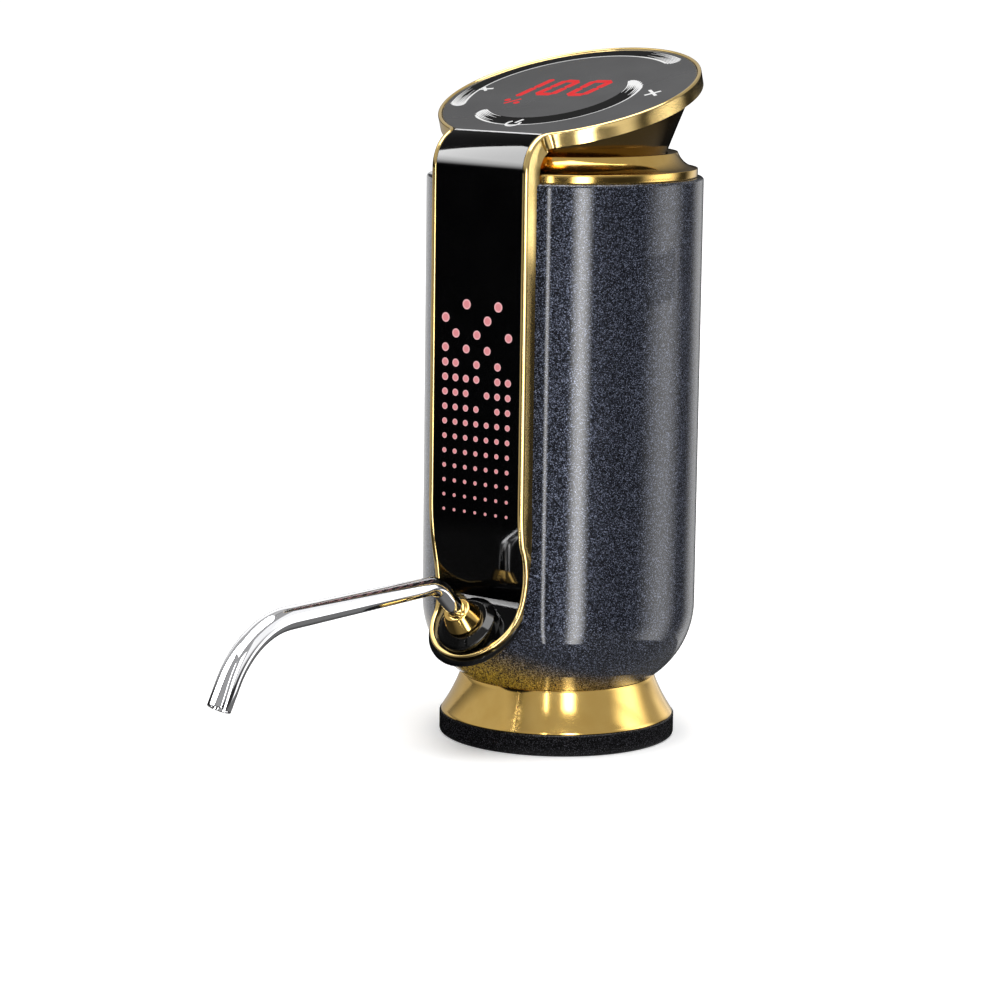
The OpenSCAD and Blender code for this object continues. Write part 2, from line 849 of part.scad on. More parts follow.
module front_panel() {
    color("#0d0d10")
        strap_slab(panel_sink, panel_pocket, strap_lip + fit_gap, 0, panel_tab - fit_gap);
}

module display_lens() {
    color("#2b2c31")
        at_disc()
            translate([0, 0, -lens_pocket])
                intersection() {
                    cylinder(r = lens_r - fit_gap, h = lens_t);
                    translate([-lens_r, panel_end_u, -eps])
                        cube([2 * lens_r, 3 * lens_r, lens_t + 2 * eps]);
                }
}

module display_board() {
    color("#1f5a3a")
        at_disc()
            translate([0, neck_up, -rim_t - pcb_t])
                cylinder(r = neck_top_d / 2 - neck_wall - 1.2, h = pcb_t);
}

module digit_module() {
    color("#e8e4dc")
        at_disc()
            translate([digits_at[0], digits_at[1], -rim_t])
                cube([digits_size[0], digits_size[1], rim_t - lens_pocket]);
}

module touch_pads() {
    color("#4a4a50")
        at_disc()
            for (p = pad_spots)
                translate([pad_at * p[0], pad_at * p[1], -rim_t])
                    cylinder(r = pad_r, h = rim_t - lens_pocket);
}

module led_board() {
    color("#1f5a3a")
        union() {
            translate([-led_w / 2 - led_edge_x, led_board_y, led_z - led_edge_z])
                cube([led_w + 2 * led_edge_x, led_pcb_t, led_top - led_z + 2 * led_edge_z]);
            for (i = [0 : led_cols - 1], k = [0 : led_rows - 1])
                translate([-led_w / 2 + i * led_pitch_x - led_side / 2, led_board_y - led_h,
                    led_z + k * led_pitch_z - led_side / 2])
                    cube([led_side, led_h + 0.1, led_side]);
        }
}

module spout_shelf() {
    color("#101013")
        difference() {
            intersection() {
                union() {
                    toe_solid(0, 0);
                    carried(cheek_y, strap_y + shelf_back + 1)
                        slot_outline(0);
                }
                at_seat()
                    translate([-body_r, -body_r, -toe_depth])
                        cube([body_d, body_d, toe_depth - toe_sink]);
                translate([-body_r, strap_y - body_r, 0])
                    cube([body_d, body_r + shelf_back, body_d]);
            }
            toe_band();
            at_seat()
                translate([0, 0, -20])
                    cylinder(r = socket_neck_r + fit_gap, h = 30);
        }
}

module spout_socket() {
    stem_bore_r = stem_r + run_gap;
    color("#141417")
        at_seat()
            rotate_extrude()
                polygon([[inlet_r - inlet_wall, -hose_start], [inlet_r, -hose_start], [inlet_r, -socket_tail],
                    [socket_neck_r, -socket_tail], [socket_neck_r, -toe_sink], [socket_d / 2, -toe_sink],
                    [socket_d / 2, socket_h - toe_sink - 0.5], [socket_d / 2 - 0.5, socket_h - toe_sink],
                    [socket_ring_d / 2, socket_h - toe_sink], [socket_ring_d / 2, socket_top - 0.3],
                    [socket_ring_d / 2 - 0.3, socket_top], [stem_bore_r, socket_top], [stem_bore_r, -stem_deep - 0.05],
                    [inlet_r - inlet_wall, -stem_deep - 0.05]]);
}

module spout_o_rings() {
    color("#1b1b1b")
        at_seat()
            for (z = seal_zs)
                translate([0, 0, z - seal_t / 2])
                    tube(stem_r, stem_r - seal_t, seal_t);
}

module spout_ferrule() {
    groove_r = stem_r - seal_t - run_gap;
    groove_h = seal_t / 2 + run_gap;
    color("#d8a33a")
        at_seat()
            rotate_extrude()
                polygon([[tube_d / 2 - tube_wall, -stem_deep], [stem_r - 0.3, -stem_deep],
                    [stem_r, -stem_deep + 0.3], [stem_r, seal_zs[1] - groove_h], [groove_r, seal_zs[1] - groove_h],
                    [groove_r, seal_zs[1] + groove_h], [stem_r, seal_zs[1] + groove_h],
                    [stem_r, seal_zs[0] - groove_h], [groove_r, seal_zs[0] - groove_h],
                    [groove_r, seal_zs[0] + groove_h], [stem_r, seal_zs[0] + groove_h], [stem_r, ferrule_z],
                    [ferrule_d / 2, ferrule_z], [ferrule_d / 2, ferrule_z + 0.6],
                    [ferrule_top_d / 2, ferrule_z + ferrule_len - 0.3],
                    [ferrule_top_d / 2 - 0.3, ferrule_z + ferrule_len],
                    [tube_d / 2 + fit_gap, ferrule_z + ferrule_len], [tube_d / 2 + fit_gap, tube_start],
                    [tube_d / 2 - tube_wall, tube_start]]);
}

module spout_path(cut, past) {
    r0 = tube_d / 2 - cut;
    r1 = mouth_d / 2 - cut;
    mouth = [0, bend2_y - bend2_r * sin(bend2_a), bend2_z + bend2_r * cos(bend2_a)];
    at_seat()
        translate([0, 0, tube_rise - bend1_set])
            bead(r0);
    translate([0, level_y, level_z])
        rotate([90, 0, 0])
            bead(r0);
    translate([0, bend2_y, level_z])
        rotate([90, 0, 0])
            bead(r1);
    translate(mouth)
        rotate([90 + bend2_a, 0, 0])
            bead(r1);
    at_seat()
        translate([0, 0, tube_start - past])
            cylinder(r = r0, h = tube_rise - bend1_set - tube_start + past);
    crosswise_turn(level_y, level_z - bend1_r, 90 - bend1_a, bend1_a)
        translate([bend1_r, 0])
            circle(r = r0);
    translate([0, level_y, level_z])
        rotate([90, 0, 0])
            cylinder(r1 = r0, r2 = r1, h = level_y - bend2_y);
    crosswise_turn(bend2_y, bend2_z, 90, bend2_a)
        translate([bend2_r, 0])
            circle(r = r1);
    translate(mouth)
        rotate([90 + bend2_a, 0, 0])
            cylinder(r = r1, h = mouth_len + past);
}

module spout_tube() {
    color("#c8ccd2")
        difference() {
            spout_path(0, 0);
            spout_path(tube_wall, eps);
        }
}

module chassis() {
    color("#34353a")
        difference() {
            union() {
                translate([-spine_w / 2, spine_y, plate_top + leg_h])
                    cube([spine_w, spine_t, deck_z - plate_top - leg_h + deck_t / 2]);
                for (x = [-1, 1]) {
                    translate([x * peg_x - leg_w / 2, spine_y, plate_top])
                        cube([leg_w, spine_t, leg_h + 1]);
                    translate([x * peg_x, spine_y + spine_t / 2, plate_z - 0.8])
                        cylinder(d = peg_d, h = 4);
                }
                translate([0, 0, deck_z])
                    cylinder(r = deck_r, h = deck_t);
                for (a = board_bolts)
                    rotate([0, 0, a])
                        translate([board_bolt_r, 0, deck_z])
                            cylinder(d = post_d, h = board_z - deck_z);
                for (z = [motor_z + clamp_h, can_top - 2 * clamp_h])
                    at_pump(z)
                        cylinder(r = motor_r + clamp_wall, h = clamp_h);
                for (z = [cell_z + cradle_h, cell_z + cell_len - 2 * cradle_h])
                    translate([cell_x, cell_y, z])
                        cylinder(r = cell_r + cradle_wall, h = cradle_h);
                translate([cell_x - cell_r, spine_y, cell_z - deck_t])
                    cube([2 * cell_r, spine_t + 1.5 * cell_r, deck_t]);
            }
            at_pump(motor_z)
                cylinder(r = motor_r + fit_gap, h = motor_len + 10);
            translate([cell_x, cell_y, cell_z])
                cylinder(r = cell_r + fit_gap, h = cell_len + 4);
            translate([-body_r, -2 * body_r, deck_z - eps])
                cube([2 * body_r, 2 * body_r + led_board_y + front_clear, 10]);
            for (a = board_bolts)
                rotate([0, 0, a])
                    translate([board_bolt_r, 0, board_z - 3])
                        cylinder(d = board_screw_d + 2 * fit_gap, h = 5);
        }
}

module battery_cell() {
    color("#2f6fb5")
        translate([cell_x, cell_y, cell_z])
            union() {
                cylinder(r = cell_r, h = cell_len - 1.2);
                cylinder(r = cell_r - 3.8, h = cell_len);
            }
}

module main_board() {
    color("#1f5a3a")
        difference() {
            union() {
                translate([0, 0, board_z])
                    cylinder(r = board_r, h = pcb_t);
                translate([-6, -7, board_z + pcb_t - 0.1])
                    cube([10, 10, 1.3]);
                translate([6, -10, board_z + pcb_t - 0.1])
                    cube([6, 8, 2.1]);
                translate([-16, 4, board_z + pcb_t - 0.1])
                    cube([7, 5, 3.1]);
            }
            for (a = board_bolts)
                rotate([0, 0, a])
                    translate([board_bolt_r, 0, board_z - eps])
                        cylinder(d = board_screw_d + 2 * fit_gap, h = 5);
            translate([-body_r, -2 * body_r, board_z - eps])
                cube([2 * body_r, 2 * body_r + led_board_y + front_clear, 10]);
        }
}

module board_screws() {
    color("#8f9296")
        for (a = board_bolts)
            rotate([0, 0, a])
                translate([board_bolt_r, 0, board_z + pcb_t]) {
                    difference() {
                        cylinder(d = 3.6, h = 1.2);
                        translate([0, 0, 0.6])
                            cylinder(r = 0.8, h = 2, $fn = 6);
                    }
                    translate([0, 0, -4])
                        cylinder(d = board_screw_d, h = 4);
                }
}

// Flat-sided oval of the charging port, grown by g
module usb_form(g, h) {
    for (s = [-1, 1])
        translate([s * (usb_w - usb_h) / 2, 0, 0])
            cylinder(r = usb_h / 2 + g, h = h);
    translate([-(usb_w - usb_h) / 2, -usb_h / 2 - g, 0])
        cube([usb_w - usb_h, usb_h + 2 * g, h]);
}

module usb_port() {
    color("#b9bcc0")
        translate([0, usb_front - usb_len, usb_z + usb_h / 2])
            rotate([-90, 0, 0])
                difference() {
                    usb_form(0, usb_len);
                    translate([0, 0, 1.2])
                        usb_form(-0.35, usb_len);
                }
}

module pump_holes(h) {
    for (a = pump_bolts)
        rotate([0, 0, a])
            translate([pump_bolt_r, 0, -eps])
                cylinder(d = pump_screw_d + 2 * fit_gap, h = h);
}

module pump_cap() {
    color("#3c3e44")
        difference() {
            union() {
                at_pump(pump_z)
                    cylinder(r = pump_r, h = cap_h);
                translate([air_x, air_y, nipple_z])
                    cylinder(r = air_r, h = pump_z - nipple_z + 0.2);
            }
            at_pump(pump_z + cap_h - 2)
                cylinder(r = bore_r, h = 3);
            translate([air_x, air_y, nipple_z - eps])
                cylinder(r = air_r - inlet_wall, h = pump_z + cap_h - nipple_z);
            at_pump(pump_z)
                pump_holes(cap_h + 1);
        }
}

module valve_plate() {
    color("#c3c0b8")
        at_pump(valve_z)
            difference() {
                cylinder(r = pump_r, h = valve_t);
                for (a = cup_angles)
                    rotate([0, 0, a])
                        for (d = [-1.4, 1.4])
                            translate([cup_pitch + d, 0, -eps])
                                cylinder(r = 0.55, h = valve_t + 2 * eps);
                pump_holes(valve_t + 1);
            }
}

module valve_flaps() {
    color("#5a2f2b")
        at_pump(valve_z - flap_t)
            for (a = cup_angles)
                rotate([0, 0, a])
                    translate([cup_pitch, 0, 0])
                        cylinder(r = flap_r, h = flap_t);
}

module pump_diaphragm() {
    color("#2a2a2e")
        at_pump(skin_z)
            difference() {
                union() {
                    cylinder(r = pump_r, h = skin_t);
                    for (a = cup_angles)
                        rotate([0, 0, a])
                            translate([cup_pitch, 0, 0]) {
                                cylinder(r1 = cup_r + 0.3, r2 = cup_r - 0.4, h = cup_h);
                                cylinder(r = 1.1, h = arm_z(a) - skin_z - 0.3);
                            }
                }
                for (a = cup_angles)
                    rotate([0, 0, a])
                        translate([cup_pitch, 0, -eps])
                            cylinder(r1 = cup_r - 0.5, r2 = cup_r - 1.2, h = cup_h - 0.8 + eps);
                pump_holes(skin_t + 1);
            }
}

module wobble_plate() {
    color("#d7d2c6")
        at_pin()
            difference() {
                union() {
                    translate([0, 0, -1])
                        cylinder(r = hub_r, h = 4);
                    for (a = cup_angles)
                        rotate([0, 0, a]) {
                            translate([0, -arm_w / 2, -arm_t / 2])
                                cube([cup_pitch, arm_w, arm_t]);
                            translate([cup_pitch, 0, -arm_t / 2])
                                cylinder(r = 2, h = arm_t);
                        }
                }
                cylinder(r = pin_d / 2 + run_gap, h = 4);
            }
}

module drive_pin() {
    color("#b9bcc0")
        at_pin()
            translate([0, 0, 0.1])
                cylinder(d = pin_d, h = pin_len);
}

module eccentric_wheel() {
    color("#e4ddcb")
        difference() {
            at_pump(wheel_z)
                cylinder(r = wheel_r, h = wheel_t);
            at_pin()
                cylinder(d = pin_d + 2 * fit_gap, h = pin_len + 0.1);
            at_pump(wheel_z + wheel_t - shaft_grip - 0.1)
                cylinder(d = shaft_d + 2 * fit_gap, h = 3);
        }
}

module pump_case() {
    color("#3c3e44")
        at_pump(case_z)
            difference() {
                cylinder(r = pump_r, h = case_h);
                translate([0, 0, -eps])
                    cylinder(r = bore_r, h = case_h - 2 + eps);
                cylinder(d = shaft_d + 1, h = case_h + 1);
                pump_holes(8);
            }
}

module pump_screws() {
    color("#8f9296")
        at_pump(pump_z)
            for (a = pump_bolts)
                rotate([0, 0, a])
                    translate([pump_bolt_r, 0, 0]) {
                        translate([0, 0, -1.2])
                            difference() {
                                cylinder(d = 3.2, h = 1.2);
                                translate([0, 0, -1])
                                    cylinder(r = 0.8, h = 1.6, $fn = 6);
                            }
                        cylinder(d = pump_screw_d, h = case_z - pump_z + 6);
                    }
}

module motor_can() {
    color("#a9acb1")
        at_pump(motor_z)
            difference() {
                cylinder(r = motor_r, h = motor_len);
                translate([0, 0, 1.5])
                    cylinder(r = motor_r - can_wall, h = motor_len);
                translate([0, 0, -eps])
                    cylinder(r = shaft_d / 2 + run_gap, h = 4);
            }
}

module motor_end_cap() {
    color("#26262a")
        at_pump(can_top)
            difference() {
                union() {
                    cylinder(r = motor_r - 0.4, h = end_cap_t);
                    translate([0, 0, -1.5])
                        cylinder(r = motor_r - can_wall - fit_gap, h = 2);
                }
                translate([0, 0, -3])
                    cylinder(r = shaft_d / 2 + run_gap, h = end_cap_t + 6);
            }
}

module motor_magnets() {
    ro = motor_r - can_wall - fit_gap;
    color("#55565c")
        at_pump(motor_z + 5)
            for (s = [0, 180])
                rotate([0, 0, s])
                    intersection() {
                        tube(ro, ro - magnet_t, motor_len - 10);
                        translate([1.5, -motor_r, -eps])
                            cube([motor_r, 2 * motor_r, motor_len]);
                    }
}

module motor_armature() {
    color("#7d6a58")
        at_pump(motor_z + 6)
            difference() {
                cylinder(r = armature_r, h = motor_len - 12);
                for (a = [60, 180, 300])
                    rotate([0, 0, a])
                        translate([4.5, -1.2, -eps])
                            cube([armature_r, 2.4, motor_len]);
                translate([0, 0, -eps])
                    cylinder(r = shaft_d / 2 + fit_gap, h = motor_len);
            }
}

module motor_shaft() {
    color("#c9ccd0")
        at_pump(wheel_z + wheel_t - shaft_grip)
            cylinder(d = shaft_d, h = can_top + end_cap_t + 1 - wheel_z - wheel_t + shaft_grip);
}

foot_ring();
base_skirt();
base_screws();
base_plate();
bottle_stopper();
wine_inlet();
air_inlet();
wine_hose();
air_hose();
body_shell();
top_collar();
head_neck();
trim_frame();
front_panel();
display_lens();
display_board();
digit_module();
touch_pads();
led_board();
spout_shelf();
spout_socket();
spout_o_rings();
spout_ferrule();
spout_tube();
chassis();
battery_cell();
main_board();
board_screws();
usb_port();
pump_cap();
valve_plate();
valve_flaps();
pump_diaphragm();
wobble_plate();
drive_pin();
eccentric_wheel();
pump_case();
pump_screws();
motor_can();
motor_end_cap();
motor_magnets();
motor_armature();
motor_shaft();
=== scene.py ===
"""Electric wine aerator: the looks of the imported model, in metres, +Z up, the spout to -Y."""
import logging
import math
from dataclasses import dataclass
from enum import Enum
from typing import Sequence

import bpy
from mathutils import Matrix, Vector


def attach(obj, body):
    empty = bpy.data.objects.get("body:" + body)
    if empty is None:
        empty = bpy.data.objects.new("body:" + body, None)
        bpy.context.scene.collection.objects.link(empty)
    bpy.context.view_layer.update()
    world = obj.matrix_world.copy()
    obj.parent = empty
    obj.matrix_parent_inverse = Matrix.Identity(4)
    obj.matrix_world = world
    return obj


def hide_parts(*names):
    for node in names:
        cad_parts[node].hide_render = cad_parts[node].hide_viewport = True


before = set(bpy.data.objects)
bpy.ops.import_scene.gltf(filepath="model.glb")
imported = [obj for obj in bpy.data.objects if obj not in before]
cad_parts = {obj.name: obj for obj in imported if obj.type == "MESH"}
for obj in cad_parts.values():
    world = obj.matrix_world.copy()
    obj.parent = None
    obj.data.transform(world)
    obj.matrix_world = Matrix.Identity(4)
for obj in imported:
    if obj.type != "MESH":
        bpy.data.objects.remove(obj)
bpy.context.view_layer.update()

Flat = tuple[float, float]
Corner = tuple[float, float, float]
Colour = tuple[float, float, float]
Piece = bpy.types.Object
Socket = bpy.types.NodeSocket
LOG = logging.getLogger("aerator")

MM = 0.001
SEAT_LEAN = 45.0
DISC_TILT = 17.5
DOWN = Vector((0, 0, -1))
# Frames of outlines drawn from the front and from the side
FRONT = Matrix(((1, 0, 0, 0), (0, 0, -1, 0), (0, 1, 0, 0), (0, 0, 0, 1)))
SIDE = Matrix(((0, 0, 1, 0), (1, 0, 0, 0), (0, 1, 0, 0), (0, 0, 0, 1)))
# Frames of the spout's seat, of the round toe around it and of the display's face
SEAT = Matrix.Translation(Vector((0, -33.45, 29.95)) * MM) @ Matrix.Rotation(math.radians(SEAT_LEAN), 4, "X")
TOE_BACK = 3.5
TOE = SEAT @ Matrix.Translation((0, TOE_BACK * MM, 0))
FACE = Matrix.Translation(Vector((0, 1, 150.6)) * MM) @ Matrix.Rotation(math.radians(DISC_TILT), 4, "X")


class Body(Enum):
    """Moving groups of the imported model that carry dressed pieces."""

    HOUSING = "housing"
    SPOUT = "spout"


class Cut(Enum):
    """What a tool does to the piece it meets."""

    AWAY = "DIFFERENCE"
    KEEP = "INTERSECT"
    JOIN = "UNION"


def box(left: float, right: float, low: float, high: float) -> list[Flat]:
    """Gives the corners of a rectangle."""
    return [(left, low), (right, low), (right, high), (left, high)]


def bearing(degrees: float) -> Vector:
    """Gives the level direction at an angle from the x axis."""
    return Vector((math.cos(math.radians(degrees)), math.sin(math.radians(degrees)), 0))


def rounded(corners: Sequence[Corner], steps: int = 4) -> list[Flat]:
    """Turns corners into a closed outline with an arc at each one.

    Args:
        corners: Across, up and rounding radius of each corner, in millimetres.
        steps: Straight lengths in each arc.

    Returns:
        The outline's points, in millimetres.
    """
    outline: list[Flat] = []
    for i, (x, y, radius) in enumerate(corners):
        here = Vector((x, y))
        if radius <= 0:
            outline.append((x, y))
            continue
        back = Vector(corners[i - 1][:2]) - here
        on = Vector(corners[(i + 1) % len(corners)][:2]) - here
        half = back.angle(on) / 2
        reach = min(radius / math.tan(half), 0.49 * back.length, 0.49 * on.length)
        radius = reach * math.tan(half)
        middle = here + (back.normalized() + on.normalized()).normalized() * radius / math.sin(half)
        start = here + back.normalized() * reach - middle
        end = here + on.normalized() * reach - middle
        first = math.atan2(start.y, start.x)
        turn = (math.atan2(end.y, end.x) - first + math.pi) % math.tau - math.pi
        for k in range(steps + 1):
            angle = first + turn * k / steps
            outline.append((middle.x + radius * math.cos(angle), middle.y + radius * math.sin(angle)))
    return outline


def arc(centre: Flat, radius: float, start: float, end: float, step: float = 3.0) -> list[Flat]:
    """Gives points along a circle.

    Args:
        centre: The circle's centre.
        radius: Its radius.
        start: Angle of the first point, in degrees.
        end: Angle of the last point, in degrees.
        step: Largest angle between two points, in degrees.

    Returns:
        The points, both ends included.
    """
    count = max(1, math.ceil(abs(end - start) / step - 1e-9))
    angles = [math.radians(start + (end - start) * k / count) for k in range(count + 1)]
    return [(centre[0] + radius * math.cos(a), centre[1] + radius * math.sin(a)) for a in angles]


def hollow_arc(low: Flat, top: Flat, radius: float) -> list[Flat]:
    """Gives points of a curve between two points that is hollow to the outside.

    Args:
        low: First point.
        top: Last point, further up and further in.
        radius: Radius of the curve.

    Returns:
        The points, both ends included.
    """
    p, q = Vector(low), Vector(top)
    chord = q - p
    out = Vector((chord.y, -chord.x)).normalized()
    centre = (p + q) / 2 + out * math.sqrt(radius ** 2 - (chord.length / 2) ** 2)
    start, end = (math.degrees(math.atan2(v.y - centre.y, v.x - centre.x)) % 360 for v in (p, q))
    return arc((centre.x, centre.y), radius, start, end, 1.5)


class Bench:
    """Modelling steps on one new object at a time, by Blender's operators."""

    @staticmethod
    def clear() -> None:
        """Leaves edit mode and selects nothing."""
        if bpy.context.object and bpy.context.object.mode != "OBJECT":
            bpy.ops.object.mode_set(mode="OBJECT")
        bpy.ops.object.select_all(action="DESELECT")

    @staticmethod
    def pick(*pieces: Piece) -> None:
        """Selects these objects alone, the last of them active."""
        Bench.clear()
        for piece in pieces:
            piece.select_set(True)
        bpy.context.view_layer.objects.active = pieces[-1]

    @staticmethod
    def edit(piece: Piece) -> None:
        """Opens one object for editing with all of it selected."""
        Bench.pick(piece)
        bpy.ops.object.mode_set(mode="EDIT")
        bpy.ops.mesh.select_mode(type="VERT")
        bpy.ops.mesh.select_all(action="SELECT")

    @staticmethod
    def named(name: str) -> Piece:
        """Names the active object and its mesh."""
        piece = bpy.context.object
        piece.name = piece.data.name = name
        return piece

    @staticmethod
    def chain(name: str, points: Sequence[Vector], closed: bool) -> Piece:
        """Draws edges by extruding one vertex from point to point.

        Args:
            name: Name of the new object.
            points: Where the vertices go, in metres.
            closed: Whether the last vertex joins the first.

        Returns:
            The new object.
        """
        Bench.clear()
        bpy.ops.mesh.primitive_plane_add(size=0.01, location=(0, 0, 0))
        piece = Bench.named(name)
        Bench.edit(piece)
        bpy.ops.mesh.merge(type="CENTER")
        bpy.ops.transform.translate(value=points[0])
        for here, there in zip(points, points[1:]):
            bpy.ops.mesh.extrude_vertices_move(TRANSFORM_OT_translate={"value": there - here})
        if closed:
            bpy.ops.mesh.select_all(action="DESELECT")
            bpy.ops.object.mode_set(mode="OBJECT")
            for end in (0, len(piece.data.vertices) - 1):
                piece.data.vertices[end].select = True
            bpy.ops.object.mode_set(mode="EDIT")
            bpy.ops.mesh.edge_face_add()
        Bench.clear()
        return piece

    @staticmethod
    def mend(piece: Piece, reach: float = 2e-7) -> Piece:
        """Merges vertices that coincide, drops loose edges and turns all faces outwards."""
        Bench.edit(piece)
        bpy.ops.mesh.remove_doubles(threshold=reach)
        bpy.ops.mesh.select_all(action="SELECT")
        bpy.ops.mesh.delete_loose()
        bpy.ops.mesh.select_all(action="SELECT")
        bpy.ops.mesh.normals_make_consistent(inside=False)
        Bench.clear()
        return piece

    @staticmethod
    def place(piece: Piece, frame_of: Matrix) -> Piece:
        """Carries the mesh into a frame and leaves the object at the origin."""
        Bench.pick(piece)
        piece.matrix_world = frame_of
        bpy.ops.object.transform_apply(location=True, rotation=True, scale=True)
        return piece

    @staticmethod
    def lathe(name: str, outline: Sequence[Flat], frame_of: Matrix | None = None, steps: int = 160) -> Piece:
        """Spins a closed outline about the local z axis.

        Args:
            name: Name of the new object.
            outline: Radius and height of each point, in millimetres.
            frame_of: Where the local frame is, or None for the shared frame.
            steps: Facets round the axis.

        Returns:
            The new object.
        """
        piece = Bench.chain(name, [Vector((r, 0, z)) * MM for r, z in outline], True)
        Bench.edit(piece)
        bpy.ops.mesh.spin(steps=steps, angle=math.tau, center=(0, 0, 0), axis=(0, 0, 1))
        Bench.mend(piece)
        return Bench.place(piece, frame_of) if frame_of else piece

    @staticmethod
    def prism(name: str, outline: Sequence[Flat], low: float, high: float, frame_of: Matrix | None = None
              ) -> Piece:
        """Fills a closed outline and carries it along the local z axis.

        Args:
            name: Name of the new object.
            outline: Local x and y of each point, in millimetres.
            low: Height where the prism starts, in millimetres.
            high: Height where it ends, in millimetres.
            frame_of: Where the local frame is, or None for the shared frame.

        Returns:
            The new object.
        """
        piece = Bench.chain(name, [Vector((x, y, low)) * MM for x, y in outline], True)
        Bench.edit(piece)
        bpy.ops.mesh.edge_face_add()
        bpy.ops.mesh.extrude_region_move(TRANSFORM_OT_translate={"value": (0, 0, (high - low) * MM)})
        Bench.mend(piece)
        return Bench.place(piece, frame_of) if frame_of else piece

    @staticmethod
    def sweep(name: str, line: Sequence[Vector], radii: Sequence[float], fine: int) -> Piece:
        """Carries a circle along a drawn line.

        Args:
            name: Name of the new object.
            line: Points of the line, in metres.
            radii: Radius at each point, in millimetres.
            fine: Resolution of the circle.

        Returns:
            The new object.
        """
        Bench.pick(Bench.chain(name, line, False))
        bpy.ops.object.convert(target="CURVE")
        curve = bpy.context.object
        curve.data.bevel_depth = MM
        curve.data.bevel_resolution = fine
        for point in curve.data.splines[0].points:
            near = min(range(len(line)), key=lambda k: (line[k] - point.co.xyz).length)
            point.radius = radii[near]
        bpy.ops.object.convert(target="MESH")
        return Bench.mend(Bench.named(name))

    @staticmethod
    def loop_bar(name: str, rings: Sequence[Sequence[Vector]]) -> Piece:
        """Rolls a grid into a bar that follows a closed line.

        Args:
            name: Name of the new object.
            rings: Points of the bar's section at each station, in metres.

        Returns:
            The new object.
        """
        Bench.clear()
        around, along = len(rings[0]), len(rings)
        bpy.ops.mesh.primitive_grid_add(x_subdivisions=around, y_subdivisions=along, size=0.1)
        piece = Bench.named(name)
        for vertex in piece.data.vertices:
            station, place = divmod(vertex.index, around + 1)
            vertex.co = rings[station % along][place % around]
        return Bench.mend(piece)

    @staticmethod
    def cut(piece: Piece, tool: Piece, how: Cut = Cut.AWAY) -> Piece:
        """Cuts, keeps or joins a piece with a tool, which is used up.

        Args:
            piece: The piece that is changed.
            tool: The object that cuts it.
            how: What the tool does.

        Returns:
            The changed piece.
        """
        Bench.apply(piece, "BOOLEAN", operation=how.value, object=tool, solver="EXACT")
        bpy.data.objects.remove(tool)
        return piece

    @staticmethod
    def apply(piece: Piece, kind: str, **settings: object) -> Piece:
        """Adds a modifier with its settings and applies it."""
        Bench.pick(piece)
        modifier = piece.modifiers.new(kind, kind)
        for name, value in settings.items():
            setattr(modifier, name, value)
        bpy.ops.object.modifier_apply(modifier=modifier.name)
        return piece

    @staticmethod
    def smooth(piece: Piece, angle: float = 30.0) -> Piece:
        """Shades the piece smooth where faces meet at less than an angle."""
        Bench.pick(piece)
        bpy.ops.object.shade_smooth_by_angle(angle=math.radians(angle))
        return piece

    @staticmethod
    def soften(piece: Piece, width: float, angle: float = 40.0) -> Piece:
        """Rounds the sharp edges of a piece by a small bevel, in millimetres."""
        Bench.apply(piece, "BEVEL", width=width * MM, segments=3, limit_method="ANGLE",
                    angle_limit=math.radians(angle), harden_normals=False, use_clamp_overlap=True)
        return Bench.smooth(piece)

    @staticmethod
    def join(name: str, pieces: Sequence[Piece]) -> Piece:
        """Joins objects into one and names it."""
        Bench.pick(*pieces)
        bpy.ops.object.join()
        return Bench.named(name)


class Nodes:
    """Shader nodes of one tree."""

    def __init__(self, tree: bpy.types.NodeTree) -> None:
        """Takes a tree to work on."""
        self.tree = tree

    def add(self, kind: str, **settings: object) -> bpy.types.Node:
        """Adds a node with its settings."""
        node = self.tree.nodes.new(kind)
        for name, value in settings.items():
            setattr(node, name, value)
        return node

    def link(self, source: Socket, socket: Socket) -> None:
        """Links an output to an input."""
        self.tree.links.new(source, socket)

    @staticmethod
    def fill(node: bpy.types.Node, sockets: dict[str, object]) -> None:
        """Sets constants on the sockets of a node."""
        for name, value in sockets.items():
            node.inputs[name].default_value = value

    def vector(self, operation: str, *operands: object) -> bpy.types.Node:
        """Adds a vector operation, whose operands are outputs to link or constants."""
        node = self.add("ShaderNodeVectorMath", operation=operation)
        for socket, operand in zip(node.inputs, operands):
            if isinstance(operand, Socket):
                self.link(operand, socket)
            else:
                socket.default_value = operand
        return node

    def ramp(self, source: Socket, stops: Sequence[tuple[float, Colour]]) -> Socket:
        """Turns a value into a colour.

        Args:
            source: The value.
            stops: Places from 0 to 1 and their linear colours.

        Returns:
            The colour.
        """
        node = self.add("ShaderNodeValToRGB")
        band = node.color_ramp
        while len(band.elements) < len(stops):
            band.elements.new(0.5)
        for element, (at, colour) in zip(band.elements, stops):
            element.position = at
            element.color = (*colour, 1)
        self.link(source, node.inputs["Fac"])
        return node.outputs["Color"]

    def span(self, source: Socket, low: float, high: float, start: float = 0.0, end: float = 1.0,
             how: str = "LINEAR") -> Socket:
        """Brings a value from one span to another.

        Args:
            source: The value.
            low: What the start becomes.
            high: What the end becomes.
            start: Start of the value's own span.
            end: End of the value's own span.
            how: Blender's word for the curve between them.

        Returns:
            The new value.
        """
        node = self.add("ShaderNodeMapRange", interpolation_type=how)
        self.fill(node, {"From Min": start, "From Max": end, "To Min": low, "To Max": high})
        self.link(source, node.inputs["Value"])
        return node.outputs["Result"]


